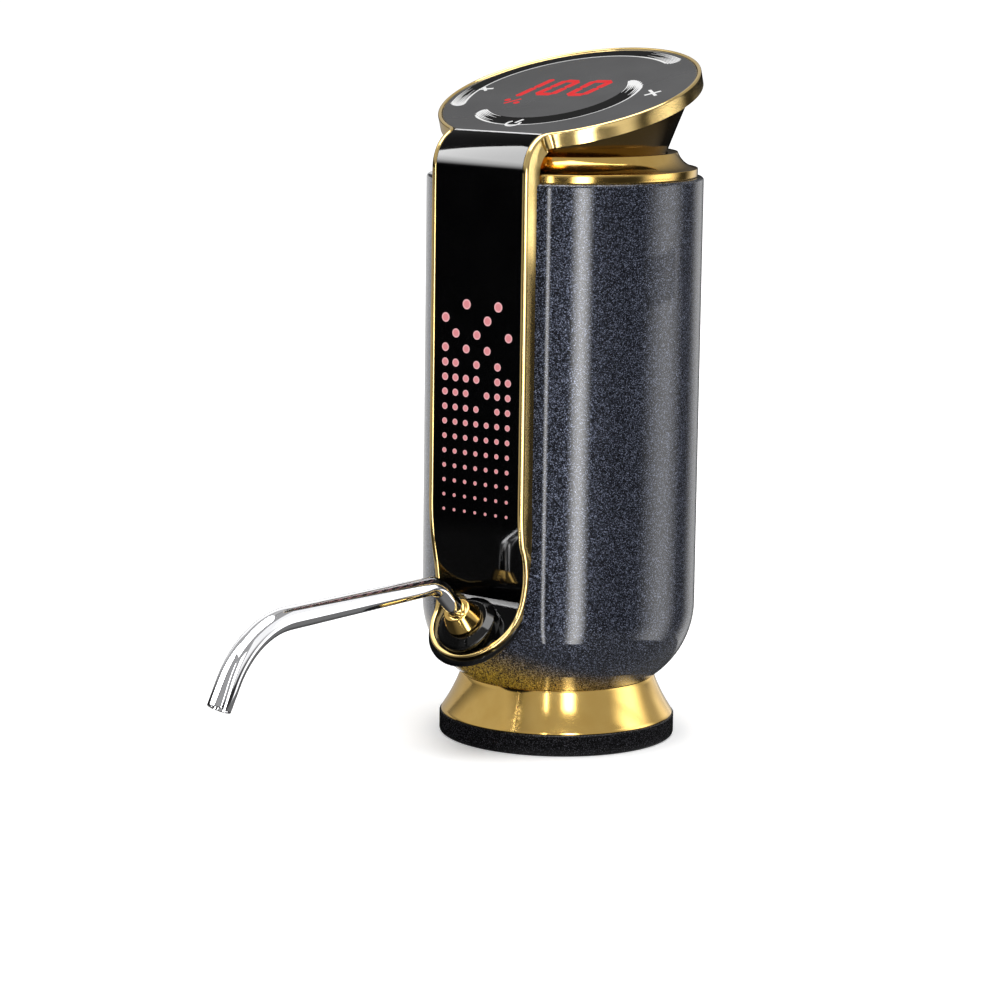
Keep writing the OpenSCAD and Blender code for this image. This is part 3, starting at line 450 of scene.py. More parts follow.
class Palette(Nodes):
    """Shader nodes of one material, on the piece's own coordinates."""

    def __init__(self, name: str) -> None:
        """Starts a material with its shader and coordinates."""
        self.material = bpy.data.materials.new(name)
        self.material.use_nodes = True
        super().__init__(self.material.node_tree)
        self.shader = self.tree.nodes["Principled BSDF"]
        self.spot = self.add("ShaderNodeTexCoord").outputs["Object"]

    def set(self, sockets: dict[str, object]) -> None:
        """Sets sockets of the shader."""
        self.fill(self.shader, sockets)

    def feed(self, socket: str, source: Socket) -> None:
        """Links a source to a socket of the shader."""
        self.link(source, self.shader.inputs[socket])

    def noise(self, size: float, detail: float = 3.0) -> Socket:
        """Adds noise with lumps of a given size, in millimetres, and octaves of finer noise."""
        node = self.add("ShaderNodeTexNoise")
        self.fill(node, {"Scale": 1 / (size * MM), "Detail": detail})
        self.link(self.spot, node.inputs["Vector"])
        return node.outputs["Fac"]

    def cells(self, size: float, **settings: object) -> bpy.types.Node:
        """Adds cells of a given size, in millimetres."""
        node = self.add("ShaderNodeTexVoronoi", **settings)
        self.fill(node, {"Scale": 1 / (size * MM)})
        self.link(self.spot, node.inputs["Vector"])
        return node

    def bump(self, source: Socket, height: float, strength: float) -> None:
        """Raises the surface by a value, to a height in millimetres."""
        node = self.add("ShaderNodeBump")
        self.fill(node, {"Distance": height * MM, "Strength": strength})
        self.link(source, node.inputs["Height"])
        self.feed("Normal", node.outputs["Normal"])


@dataclass(frozen=True)
class Finish:
    """A surface finish that takes one of the record's material slots."""

    slot: str
    colour: Colour
    shade: Colour
    roughness: Flat = (0.3, 0.45)
    grain: float = 1.0
    relief: float = 0.0
    metal: float = 0.0
    tone: str = ""

    def paint(self, palette: Palette) -> None:
        """Lays the finish's nodes.

        Args:
            palette: The material's nodes.
        """
        value = palette.noise(self.grain)
        palette.feed("Base Color", palette.ramp(value, [(0.35, self.shade), (0.65, self.colour)]))
        palette.feed("Roughness", palette.span(value, *self.roughness))
        palette.set({"Metallic": self.metal})
        if self.relief:
            palette.bump(palette.noise(self.grain * 0.6), self.relief, 0.4)

    def material(self) -> bpy.types.Material:
        """Gives the finish's material, made on its first use."""
        name = f"{self.slot}{self.tone}_finish"
        if name in bpy.data.materials:
            return bpy.data.materials[name]
        palette = Palette(name)
        self.paint(palette)
        return palette.material


@dataclass(frozen=True)
class Polished(Finish):
    """Bright plated metal with a trace of haze."""

    def paint(self, palette: Palette) -> None:
        """Lays plating that is a little uneven in tone and gloss.

        Args:
            palette: The material's nodes.
        """
        haze = palette.noise(self.grain, 4)
        palette.feed("Base Color", palette.ramp(haze, [(0.3, self.shade), (0.7, self.colour)]))
        palette.feed("Roughness", palette.span(palette.noise(self.grain * 0.2), *self.roughness))
        palette.set({"Metallic": 1.0})


@dataclass(frozen=True)
class GlitterPaint(Finish):
    """Dark lacquer over metal flakes; where asked for, gold flakes near the foot are a painted reflection of
    the gold skirt.
    """

    fleck: Colour = (0.205, 0.23, 0.315)
    flake: float = 0.17
    share: float = 0.2
    tilt: float = 0.22
    skirt_reflection_fleck: Colour | None = None
    skirt_reflection_span: Flat = (11.0, 23.0)
    skirt_reflection_lean: Corner = (0.24, 0.18, 1.0)

    def paint(self, palette: Palette) -> None:
        """Lays flakes, each with its own tilt and brightness, under clear lacquer.

        Args:
            palette: The material's nodes.
        """
        own = palette.cells(self.flake).outputs["Color"]
        parts = palette.add("ShaderNodeSeparateColor")
        palette.link(own, parts.inputs["Color"])
        bright = parts.outputs["Red"]
        start = 1 - self.share
        middle = tuple((a + 4 * b) / 5 for a, b in zip(self.fleck, self.colour))
        flakes = palette.ramp(bright, [
            (0.0, self.shade), (start - 0.2, self.colour), (start, middle), (1.0, self.fleck)])
        palette.feed("Base Color", self.paint_skirt_reflection(palette, bright, flakes) if self.skirt_reflection_fleck else flakes)
        palette.feed("Metallic", palette.ramp(bright, [(start - 0.2, (0, 0, 0)), (1.0, (0.6, 0.6, 0.6))]))
        palette.feed("Roughness", palette.span(parts.outputs["Green"], *self.roughness))
        turn = palette.vector("SUBTRACT", own, (0.5, 0.5, 0.5))
        lean = palette.vector("SCALE", turn.outputs["Vector"])
        palette.fill(lean, {"Scale": self.tilt})
        face = palette.add("ShaderNodeNewGeometry")
        tilted = palette.vector("ADD", face.outputs["Normal"], lean.outputs["Vector"])
        palette.feed("Normal", palette.vector("NORMALIZE", tilted.outputs["Vector"]).outputs["Vector"])
        palette.set({"Specular IOR Level": 0.05, "Coat Weight": 1.0, "Coat Roughness": 0.05, "Coat IOR": 1.5})

    def paint_skirt_reflection(self, palette: Palette, bright: Socket, flakes: Socket) -> Socket:
        """Mixes in gold flakes near the foot, higher up on the left of the front: a painted reflection of the
        gold skirt.

        Args:
            palette: The material's nodes.
            bright: Brightness of each flake.
            flakes: Colour of the flakes elsewhere.

        Returns:
            The mixed colour.
        """
        low, high = (value * MM for value in self.skirt_reflection_span)
        # Painted reflection: gold flakes stand in for the gold skirt mirrored in the lacquer
        gold = palette.ramp(bright, [(0.0, self.shade), (0.4, self.colour), (1.0, self.skirt_reflection_fleck)])
        place = palette.vector("DOT_PRODUCT", palette.spot, self.skirt_reflection_lean)
        mix = palette.add("ShaderNodeMix", data_type="RGBA")
        near = palette.span(place.outputs["Value"], 1.0, 0.0, low, high, "SMOOTHSTEP")
        palette.link(near, mix.inputs["Factor"])
        # The node's colour sockets share their names with others, so they go by number
        palette.link(flakes, mix.inputs[6])
        palette.link(gold, mix.inputs[7])
        return mix.outputs[2]


@dataclass(frozen=True)
class Gloss(Finish):
    """Smooth moulded surface with a clear coat."""

    specular: float = 0.5
    tint: Colour = (1.0, 1.0, 1.0)

    def paint(self, palette: Palette) -> None:
        """Lays a deep tone and a faint haze under a clear coat.

        Args:
            palette: The material's nodes.
        """
        haze = palette.noise(self.grain, 5)
        palette.feed("Base Color", palette.ramp(haze, [(0.35, self.shade), (0.7, self.colour)]))
        palette.feed("Roughness", palette.span(haze, *self.roughness))
        palette.set({"Specular IOR Level": self.specular, "Specular Tint": (*self.tint, 1),
                     "Coat Weight": 0.1, "Coat Roughness": 0.03})


@dataclass(frozen=True)
class Glow(Finish):
    """Lit or printed mark that shows its own colour."""

    strength: float = 0.95

    def paint(self, palette: Palette) -> None:
        """Lays a tone that gives its own light.

        Args:
            palette: The material's nodes.
        """
        value = palette.noise(self.grain)
        lighter = tuple(2 * part for part in self.shade)
        palette.feed("Base Color", palette.ramp(value, [(0.3, self.shade), (0.7, lighter)]))
        palette.feed("Roughness", palette.span(value, *self.roughness))
        palette.set({"Emission Color": (*self.colour, 1), "Emission Strength": self.strength})


@dataclass(frozen=True)
class CircuitBoard(Finish):
    """Green lacquered board with copper tracks under the lacquer."""

    def paint(self, palette: Palette) -> None:
        """Lays tracks as the borders of square cells.

        Args:
            palette: The material's nodes.
        """
        cells = palette.cells(self.grain, distance="CHEBYCHEV", feature="DISTANCE_TO_EDGE")
        edge = cells.outputs["Distance"]
        palette.feed("Base Color", palette.ramp(edge, [(0.05, self.colour), (0.12, self.shade)]))
        palette.feed("Roughness", palette.span(palette.noise(self.grain * 0.5), *self.roughness))
        palette.set({"Coat Weight": 0.3})


GOLD = Polished("gold", (0.93, 0.62, 0.19), (0.86, 0.55, 0.15), (0.10, 0.16), 6.0)
TRIM = Polished("gold", (0.93, 0.69, 0.29), (0.86, 0.61, 0.23), (0.10, 0.16), 6.0, tone="_trim")
CHROME = Polished("chrome", (0.80, 0.80, 0.81), (0.74, 0.74, 0.76), (0.04, 0.08), 8.0)
# The gold flakes near the foot are a painted reflection of the gold skirt
PAINT = GlitterPaint("body_paint", (0.009, 0.0105, 0.017), (0.0015, 0.002, 0.003), (0.3, 0.5),
                     skirt_reflection_fleck=(1.0, 0.62, 0.05))
FOOT_PAINT = GlitterPaint("black_glitter", (0.004, 0.004, 0.005), (0.002, 0.002, 0.002), (0.3, 0.55),
                          fleck=(0.10, 0.10, 0.115), flake=0.16, share=0.16)
BLACK = Gloss("gloss_black", (0.0016, 0.0016, 0.0018), (0.0008, 0.0008, 0.001), (0.05, 0.09), 8.0)
# Painted reflection: the orange specular tint and raised specular level stand in for the gold collar mirrored
# in the black neck and the floor under the display
NECK_GOLD_REFLECTION = Gloss("gloss_black", (0.0016, 0.0016, 0.0018), (0.0008, 0.0008, 0.001), (0.08, 0.14), 8.0,
             tone="_neck", specular=2.5, tint=(1.0, 0.64, 0.2))
# Painted reflection: the lens's mid-grey colour stands in for the bright room mirrored in the lens
LENS_GREY_REFLECTION = Gloss("lens", (0.102, 0.102, 0.104), (0.090, 0.090, 0.092), (0.06, 0.10), 10.0)
# Painted shade: black flat marks stand in for the shaded hollows of the display's slider grooves
GROOVE_SHADE = Gloss("lens", (0.004, 0.004, 0.004), (0.002, 0.002, 0.002), (0.05, 0.09), 6.0, tone="_groove_shade")
# Painted highlight: a pale strip stands in for light on the lens's front edge
EDGE_HIGHLIGHT = Gloss("lens", (0.80, 0.80, 0.81), (0.72, 0.72, 0.73), (0.2, 0.3), 3.0, tone="_edge_highlight")
STOPPER = Finish("stopper_rubber", (0.05, 0.05, 0.055), (0.035, 0.035, 0.04), (0.6, 0.8), 0.5, 0.02)
SEAL = Finish("seal_rubber", (0.012, 0.012, 0.012), (0.007, 0.007, 0.008), (0.5, 0.7), 0.4, 0.01)
SILICONE = Finish("hose_silicone", (0.58, 0.56, 0.52), (0.50, 0.48, 0.44), (0.35, 0.5), 1.2, 0.01)
STEEL = Finish("steel", (0.55, 0.56, 0.58), (0.47, 0.48, 0.50), (0.22, 0.38), 0.6, 0.004, 1.0)
BOARD = CircuitBoard("circuit_board", (0.06, 0.24, 0.10), (0.012, 0.10, 0.045), (0.25, 0.4), 2.2)
INNER = Finish("inner_plastic", (0.040, 0.042, 0.048), (0.030, 0.031, 0.036), (0.4, 0.55), 0.8, 0.015)
PALE = Finish("pale_plastic", (0.66, 0.63, 0.56), (0.60, 0.57, 0.50), (0.4, 0.55), 0.8, 0.01)
MAGNET = Finish("magnet", (0.09, 0.09, 0.10), (0.06, 0.06, 0.07), (0.45, 0.65), 0.4, 0.02, 0.6)
COIL = Finish("armature", (0.42, 0.20, 0.08), (0.26, 0.12, 0.05), (0.3, 0.5), 0.5, 0.03, 0.7)
CELL = Finish("cell_wrap", (0.045, 0.16, 0.42), (0.03, 0.12, 0.34), (0.25, 0.35), 5.0)
RED = Glow("red_light", (0.72, 0.020, 0.024), (0.04, 0.004, 0.004), (0.3, 0.4), 1.0)
ROSE = Glow("rose_light", (0.84, 0.44, 0.46), (0.03, 0.014, 0.015), (0.3, 0.4), 0.5)
ROSE_CORE = Glow("rose_light", (0.72, 0.25, 0.27), (0.03, 0.01, 0.01), (0.3, 0.4), 0.5, tone="_core")
# White print, together with the painted highlights on the slider grooves
PRINT_AND_GLINTS = Glow("white_print", (0.78, 0.78, 0.78), (0.12, 0.12, 0.12), (0.3, 0.4), 0.5, strength=0.85)

CARRIED: dict[Finish, tuple[str, ...]] = {
    STOPPER: ("bottle_stopper",),
    STEEL: ("base_screws", "wine_inlet", "air_inlet", "board_screws", "usb_port", "pump_screws", "drive_pin",
            "motor_can", "motor_shaft"),
    SILICONE: ("wine_hose", "air_hose"),
    SEAL: ("spout_o_rings", "valve_flaps"),
    BOARD: ("display_board", "led_board", "main_board"),
    INNER: ("base_plate", "chassis", "pump_cap", "pump_case", "motor_end_cap", "touch_pads"),
    PALE: ("digit_module", "valve_plate", "wobble_plate", "eccentric_wheel"),
    MAGNET: ("motor_magnets",),
    COIL: ("motor_armature",),
    CELL: ("battery_cell",),
}


def fit(piece: Piece, finish: Finish, *nodes: str, body: Body = Body.HOUSING) -> None:
    """Dresses a finished piece and sets it on its body.

    Args:
        piece: The finished piece.
        finish: Its finish.
        nodes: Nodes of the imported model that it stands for.
        body: The moving group that carries it.
    """
    piece.data.materials.clear()
    piece.data.materials.append(finish.material())
    settle(piece, finish, *nodes, body=body)


def settle(piece: Piece, finish: Finish, *nodes: str, body: Body = Body.HOUSING) -> None:
    """Sets a dressed piece on its body and reports it.

    Args:
        piece: The dressed piece.
        finish: The finish it mostly shows.
        nodes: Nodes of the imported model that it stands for.
        body: The moving group that carries it.
    """
    Bench.clear()
    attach(piece, body.value)
    if nodes:
        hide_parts(*nodes)
    LOG.info("%s: %d faces on %s", piece.name, len(piece.data.polygons), body.value)


@dataclass
class Base:
    """Foot ring and the hollow gold skirt above it, in millimetres."""

    foot_r: float = 27.7
    foot_h: float = 5.0
    lip_r: float = 16.0
    lip_gap: float = 0.3
    floor_t: float = 2.0
    foot_wall: float = 2.4
    skirt_low: Flat = (27.5, 5.0)
    skirt_top: Flat = (22.75, 14.42)
    skirt_curve: float = 40.0
    skirt_wall: float = 1.8
    flange_low: Flat = (23.8, 8.5)
    flange_top: Flat = (22.4, 11.5)

    def build(self) -> None:
        """Spins the two rings."""
        self.build_foot()
        self.build_skirt()

    def build_foot(self) -> None:
        """Spins the foot ring with its inner floor."""
        inside = self.foot_r - self.foot_wall
        foot = Bench.lathe("foot_ring_dressed", rounded([
            (self.lip_r, 0, 0.3), (self.foot_r, 0, 0.7), (self.foot_r, self.foot_h, 0.35),
            (inside, self.foot_h, 0.3), (inside, self.floor_t, 0.4), (self.lip_r, self.floor_t, 0.3)]))
        fit(Bench.smooth(foot), FOOT_PAINT, "foot_ring")

    def build_skirt(self) -> None:
        """Spins the flared skirt with its inner flange."""
        hole, wall = self.lip_r + self.lip_gap, self.skirt_wall
        outer = hollow_arc(self.skirt_low, self.skirt_top, self.skirt_curve)
        inner = [(self.skirt_top[0] - wall, self.skirt_top[1] - 1.1), self.flange_top,
                 (hole, self.flange_top[1]), (hole, self.flange_low[1]), self.flange_low,
                 (self.skirt_low[0] - wall, self.skirt_low[1])]
        corners = [(*outer[0], 0.2), *((*p, 0.0) for p in outer[1:-1]), (*outer[-1], 0.12),
                   *((*p, 0.2) for p in inner)]
        fit(Bench.smooth(Bench.lathe("base_skirt_dressed", rounded(corners, 3))), GOLD, "base_skirt")


@dataclass
class Sleeve:
    """Painted sleeve with the openings for the strap, the toe and the charging port, in millimetres."""

    radius: float = 32.0
    wall: float = 2.2
    top: float = 131.4
    edge: float = 0.7
    belly: Flat = (11.0, 31.87)
    floor_r: float = 21.0
    slot_half: float = 13.4
    slot_low_half: float = 12.0
    slot_flare: float = 40.0
    slot_low: float = 31.4
    toe_room: tuple[Flat, ...] = ((0, -12), (6.6, -12), (7.0, -3.6), (11.9, -2.0), (11.9, 2), (0, 2))
    port: Corner = (8.9, 3.2, 121.2)
    port_gap: float = 0.2

    def section(self) -> list[Flat]:
        """Gives the closed outline of the wall."""
        across, up = self.belly
        outer_r, inner_r = self.radius - across, self.radius - self.wall - across
        reach = self.floor_r - across
        outside = arc(self.belly, outer_r, -math.degrees(math.acos(reach / outer_r)), 0, 2)
        inside = arc(self.belly, inner_r, 0, -math.degrees(math.acos(reach / inner_r)), 2)
        rim = rounded([(self.radius, up, 0), (self.radius, self.top, self.edge),
                       (self.radius - self.wall, self.top, 0.2), (self.radius - self.wall, up, 0)], 6)
        return outside[:-1] + rim + inside[1:]

    def build(self) -> None:
        """Spins the wall and cuts its openings."""
        sleeve = Bench.lathe("body_shell_dressed", self.section(), steps=192)
        half, low, above = self.slot_half, self.slot_low_half, self.top + 20
        slot = [(-half, above), (half, above), (half, self.slot_flare), (low, self.slot_low),
                (-low, self.slot_low), (-half, self.slot_flare)]
        Bench.cut(sleeve, Bench.prism("slot_tool", slot, 20, 37, FRONT))
        Bench.cut(sleeve, Bench.lathe("toe_tool", self.toe_room, TOE, 96))
        wide, high, at = self.port
        wide, high = wide / 2 + self.port_gap, high / 2 + self.port_gap
        oval = rounded([(x, y, high - 0.01) for x, y in box(-wide, wide, -high, high)], 12)
        rear = Matrix.Translation((0, 0, at * MM)) @ Matrix.Rotation(math.radians(90), 4, "X")
        Bench.cut(sleeve, Bench.prism("port_tool", oval, -40, -24, rear))
        fit(Bench.smooth(sleeve), PAINT, "body_shell")


@dataclass
class Head:
    """Collar, neck and display with its marks, in millimetres."""

    collar_low: float = 131.4
    collar_top: float = 137.1
    lip_r: float = 30.6
    lip_h: float = 2.0
    top_r: float = 25.9
    top_t: float = 1.6
    collar_curve: float = 5.5
    bore_r: float = 21.6
    spigot: Corner = (28.15, 29.75, 128.4)
    strap_room: Corner = (13.4, -37.0, -27.9)
    neck_r: float = 23.4
    neck_top_r: float = 27.8
    neck_shift: float = 0.8
    neck_band: float = 0.4
    neck_wall: float = 1.5
    rim_t: float = 3.4
    lens_r: float = 29.75
    lens_top: float = -0.1
    lens_t: float = 1.5
    lens_front: float = -27.48
    edge_highlight: Corner = (12.3, -0.42, 0.2)
    print_t: float = 0.02
    groove_shade_t: float = 0.008
    digit_corners: tuple[tuple[Flat, Flat, Flat, Flat], ...] = (
        ((-7.92, -3.87), (-2.79, -3.58), (-1.29, 7.29), (-5.84, 7.45)),
        ((0.97, -3.45), (5.78, -2.84), (7.41, 8.32), (1.76, 8.0)))
    one: tuple[Flat, Flat] = ((-11.54, -5.03), (-9.69, 7.0))
    bar: float = 1.8
    percent_rings: tuple[Flat, Flat] = ((-12.2, -7.7), (-8.6, -9.1))
    percent_bar: tuple[Flat, Flat] = ((-11.6, -10.0), (-9.0, -6.6))
    sign_strokes: tuple[tuple[Flat, Flat], ...] = (
        ((20.6, 3.2), (24.6, -0.1)), ((24.0, 2.9), (21.6, -0.3)), ((-25.1, -2.0), (-21.6, -0.9)),
        ((-24.7, -0.4), (-22.6, -2.6)), ((0.5, -21.6), (1.1, -19.3)))
    power_spot: Flat = (0.2, -22.0)
    power_ring: Flat = (2.0, 1.35)
    bristles: int = 8

    def build(self) -> None:
        """Makes the collar, the neck, the lens and its marks."""
        self.build_collar()
        self.build_neck()
        self.build_lens()
        self.build_digits()
        self.build_print()

    def build_collar(self) -> None:
        """Spins the gold collar and opens it for the strap."""
        low, top, step = self.collar_low, self.collar_top, self.collar_top - self.top_t
        inner, outer, deep = self.spigot
        curve = hollow_arc((self.lip_r, low + self.lip_h), (self.top_r, top), self.collar_curve)
        corners = [(outer, deep, 0.2), (outer, low, 0), (self.lip_r, low, 0.25), (*curve[0], 0.25),
                   *((*p, 0.0) for p in curve[1:-1]), (*curve[-1], 0.15), (self.bore_r, top, 0.1),
                   (self.bore_r, step, 0.1), (self.top_r - 1.3, step, 0), (inner, low + 0.8, 0),
                   (inner, deep, 0.2)]
        collar = Bench.lathe("top_collar_dressed", rounded(corners, 3))
        half, front, back = self.strap_room
        Bench.cut(collar, Bench.prism("collar_tool", box(-half, half, front, back), low - 10, low + 10))
        fit(Bench.smooth(collar), GOLD, "top_collar")

    def build_neck(self) -> None:
        """Bridges the neck from its round foot to the leaning display."""
        rings = [(self.neck_r, Matrix.Translation((0, 0, self.collar_top * MM)))]
        for height in (-self.rim_t - self.neck_band, -self.rim_t):
            rings.append((self.neck_top_r, FACE @ Matrix.Translation((0, self.neck_shift * MM, height * MM))))
        loops = []
        for radius, spot in rings:
            Bench.clear()
            bpy.ops.mesh.primitive_circle_add(vertices=160, radius=radius * MM)
            loops.append(Bench.place(bpy.context.object, spot))
        neck = Bench.join("head_neck_dressed", loops)
        Bench.edit(neck)
        bpy.ops.mesh.bridge_edge_loops(type="SINGLE")
        Bench.mend(neck)
        Bench.apply(neck, "SOLIDIFY", thickness=self.neck_wall * MM, offset=-1)
        fit(Bench.smooth(neck), NECK_GOLD_REFLECTION, "head_neck")

    def build_lens(self) -> None:
        """Makes the dark lens, cut straight where the strap meets it, and a pale strip there that is a
        painted highlight on the lens's front edge.
        """
        front = math.degrees(math.asin(self.lens_front / self.lens_r))
        outline = arc((0, 0), self.lens_r, front, 180 - front, 2)
        lens = Bench.prism("display_lens_dressed", outline, self.lens_top - self.lens_t, self.lens_top, FACE)
        fit(Bench.soften(lens, 0.3), LENS_GREY_REFLECTION, "display_lens")
        # Painted highlight along the lens's front edge
        half, before, behind = self.edge_highlight
        strip = Bench.prism("lens_edge_highlight", box(-half, half, self.lens_front + before, self.lens_front + behind),
                            self.lens_top - 0.8, self.lens_top + 0.03, FACE)
        fit(Bench.soften(strip, 0.06), EDGE_HIGHLIGHT)

    def marks(self, name: str, outlines: Sequence[Sequence[Flat]], lift: float) -> Piece:
        """Lays flat marks on the lens.

        Args:
            name: Name of the piece.
            outlines: Closed outlines on the display's face.
            lift: Height of the marks above the lens.

        Returns:
            The marks as one piece.
        """
        low = self.lens_top - self.print_t
        return Bench.join(name, [Bench.prism(f"{name}_{i}", outline, low, self.lens_top + lift, FACE)
                                 for i, outline in enumerate(outlines)])

    def segment(self, start: Vector, end: Vector) -> list[Flat]:
        """Gives a bar with pointed ends between two points."""
        along = (end - start).normalized()
        side = Vector((-along.y, along.x)) * self.bar / 2
        first, last = start - along * 0.15, end + along * 0.15
        nose = along * self.bar * 0.35
        return [tuple(p) for p in (first, first + nose - side, last - nose - side, last, last - nose + side,
                                   first + nose + side)]

    def build_digits(self) -> None:
        """Lights the slanted digits and the small percent sign."""
        bars: list[list[Flat]] = []
        for corners in self.digit_corners:
            points = [Vector(p) for p in corners]
            centre = (points[0] + points[1] + points[2] + points[3]) / 4
            a, b, c, d = (p + (centre - p).normalized() * self.bar * 0.6 for p in points)
            left, right = (a + d) / 2, (b + c) / 2
            for start, end in ((a, b), (b, right), (right, c), (c, d), (d, left), (left, a)):
                bars.append(self.segment(start, end))
        low, high = (Vector(p) for p in self.one)
        middle = (low + high) / 2
        bars += [self.segment(low, middle), self.segment(middle, high)]
        bars += [arc(spot, 0.8, 0, 350, 30) for spot in self.percent_rings]
        bars.append(self.stroke(*self.percent_bar, 0.7))
        fit(self.marks("display_digits", bars, self.print_t), RED)

    def build_print(self) -> None:
        """Prints the graded arcs and the three touch signs, paints a highlight along the lit edge of each
        slider groove and lays painted shade in the grooves.
        """
        sliders = self.sliders()
        (front_glint_edge, _), (_, rear_glint_edge) = sliders.values()
        # Painted highlights: pale bands where light catches one edge of each groove
        marks = [self.glint_ribbon(edge, 0.5) for edge in (front_glint_edge, rear_glint_edge)]
        for outer, inner in sliders.values():
            for end in (0, -1):
                marks += self.comb(outer, inner, end)
        marks += [self.stroke(*ends, 0.75) for ends in self.sign_strokes]
        wide, slim = self.power_ring
        marks.append(arc(self.power_spot, wide, 130, 390, 10) + arc(self.power_spot, slim, 390, 130, 10))
        fit(self.marks("display_print_and_glints", marks, self.print_t), PRINT_AND_GLINTS)
        # Painted shade: a flat black mark in each slider groove
        for name, (outer, inner) in sliders.items():
            fit(self.marks(name, [self.groove(outer, inner)], self.groove_shade_t), GROOVE_SHADE)

    @staticmethod
    def sliders() -> dict[str, tuple[list[Flat], list[Flat]]]:
        """Gives the outer and the inner edge of each slider."""
        return {"slider_front_shade": (arc((-1.1, -3.0), 19.9, 234, 384), arc((-2.3, -1.7), 16.6, 232, 393)),
                "slider_rear_shade": (arc((0, 0), 28.5, 203, 60), arc((-0.2, 0), 24.7, 208, 58))}

    @staticmethod
    def glint_ribbon(line: Sequence[Flat], wide: float) -> list[Flat]:
        """Gives a band along a line that is thin in the middle and wider at its ends, used as a painted
        highlight.
        """
        near, far = [], []
        for k, point in enumerate(line):
            before, after = Vector(line[max(0, k - 1)]), Vector(line[min(len(line) - 1, k + 1)])
            along = (after - before).normalized()
            side = Vector((-along.y, along.x)) * wide * (0.35 + 0.65 * abs(2 * k / (len(line) - 1) - 1) ** 2)
            near.append(tuple(Vector(point) + side / 2))
            far.append(tuple(Vector(point) - side / 2))
        return near + far[::-1]

    def comb(self, outer: Sequence[Flat], inner: Sequence[Flat], end: int) -> list[list[Flat]]:
        """Gives fine strokes side by side at one end of a slider.

        Args:
            outer: The slider's outer edge.
            inner: Its inner edge.
            end: Index of the end, 0 or -1.

        Returns:
            The strokes' outlines.
        """
        strokes = []
        for k in range(self.bristles):
            share = (k + 0.5) / self.bristles
            reach = 4 + round(4 * abs(2 * share - 1)) + k % 3
            steps = range(reach) if end == 0 else range(-1, -reach - 1, -1)
            line = [Vector(outer[i]).lerp(Vector(inner[i]), share) for i in steps]
            along = (line[0] - line[1]).normalized()
            across = (Vector(outer[end]) - Vector(inner[end])).length
            line.insert(0, line[0] + along * (across / 2 * math.sqrt(1 - (2 * share - 1) ** 2) - 0.1))
            side = Vector((-along.y, along.x)) * across / self.bristles * 0.42
            near, far = ([tuple(p + side * way * (1 - i / len(line))) for i, p in enumerate(line)]
                         for way in (1, -1))
            strokes.append(near + far[::-1])
        return strokes

    @staticmethod
    def groove(outer: Sequence[Flat], inner: Sequence[Flat]) -> list[Flat]:
        """Gives a slider's closed outline with round ends."""
        ends = []
        for a, b, before in ((outer[-1], inner[-1], outer[-2]), (inner[0], outer[0], inner[1])):
            middle, half = (Vector(a) + Vector(b)) / 2, (Vector(a) - Vector(b)) / 2
            along = (Vector(a) - Vector(before)).normalized() * half.length
            turns = [math.radians(degrees) for degrees in range(20, 180, 20)]
            ends.append([tuple(middle + half * math.cos(t) + along * math.sin(t)) for t in turns])
        return [*outer, *ends[0], *inner[::-1], *ends[1]]

    @staticmethod
    def stroke(start: Flat, end: Flat, wide: float) -> list[Flat]:
        """Gives a straight bar between two points."""
        along = (Vector(end) - Vector(start)).normalized()
        side = Vector((-along.y, along.x)) * wide / 2
        return [tuple(Vector(p) + k * side) for p, k in ((start, -1), (end, -1), (end, 1), (start, 1))]


@dataclass
class Station:
    """Place on the gold bar: the middle of its top, the ways out and down, its sizes in millimetres."""

    spot: Vector
    out: Vector
    down: Vector
    deep: float
    wide: float
    spread: float = 0.0

    def mirrored(self) -> "Station":
        """Gives the same place on the left."""
        flip = Vector((-1, 1, 1))
        return Station(self.spot * flip, self.out * flip, self.down * flip, self.deep, self.wide, self.spread)

    def ring(self, edge: float, proud: float) -> list[Vector]:
        """Gives the bar's section, rounded on top and spreading to the outside.

        Args:
            edge: Rounding of its top edges.
            proud: Height of its top above the face.

        Returns:
            The section's points, in metres.
        """
        half = self.wide / 2
        outer = edge + self.spread * 0.8
        wall = self.deep - outer + proud
        outline = [(-half, self.deep)]
        outline += [(a, edge - proud - b) for a, b in arc((-half + edge, 0), edge, 180, 90, 15)]
        outline += [(a, outer - proud - b) for a, b in arc((half - outer, 0), outer, 90, 0, 9)]
        outline += [(half + self.spread * t ** 2, outer - proud + wall * t) for t in (0.35, 0.7, 1)]
        return [self.spot + (self.out * a + self.down * b) * MM for a, b in outline]


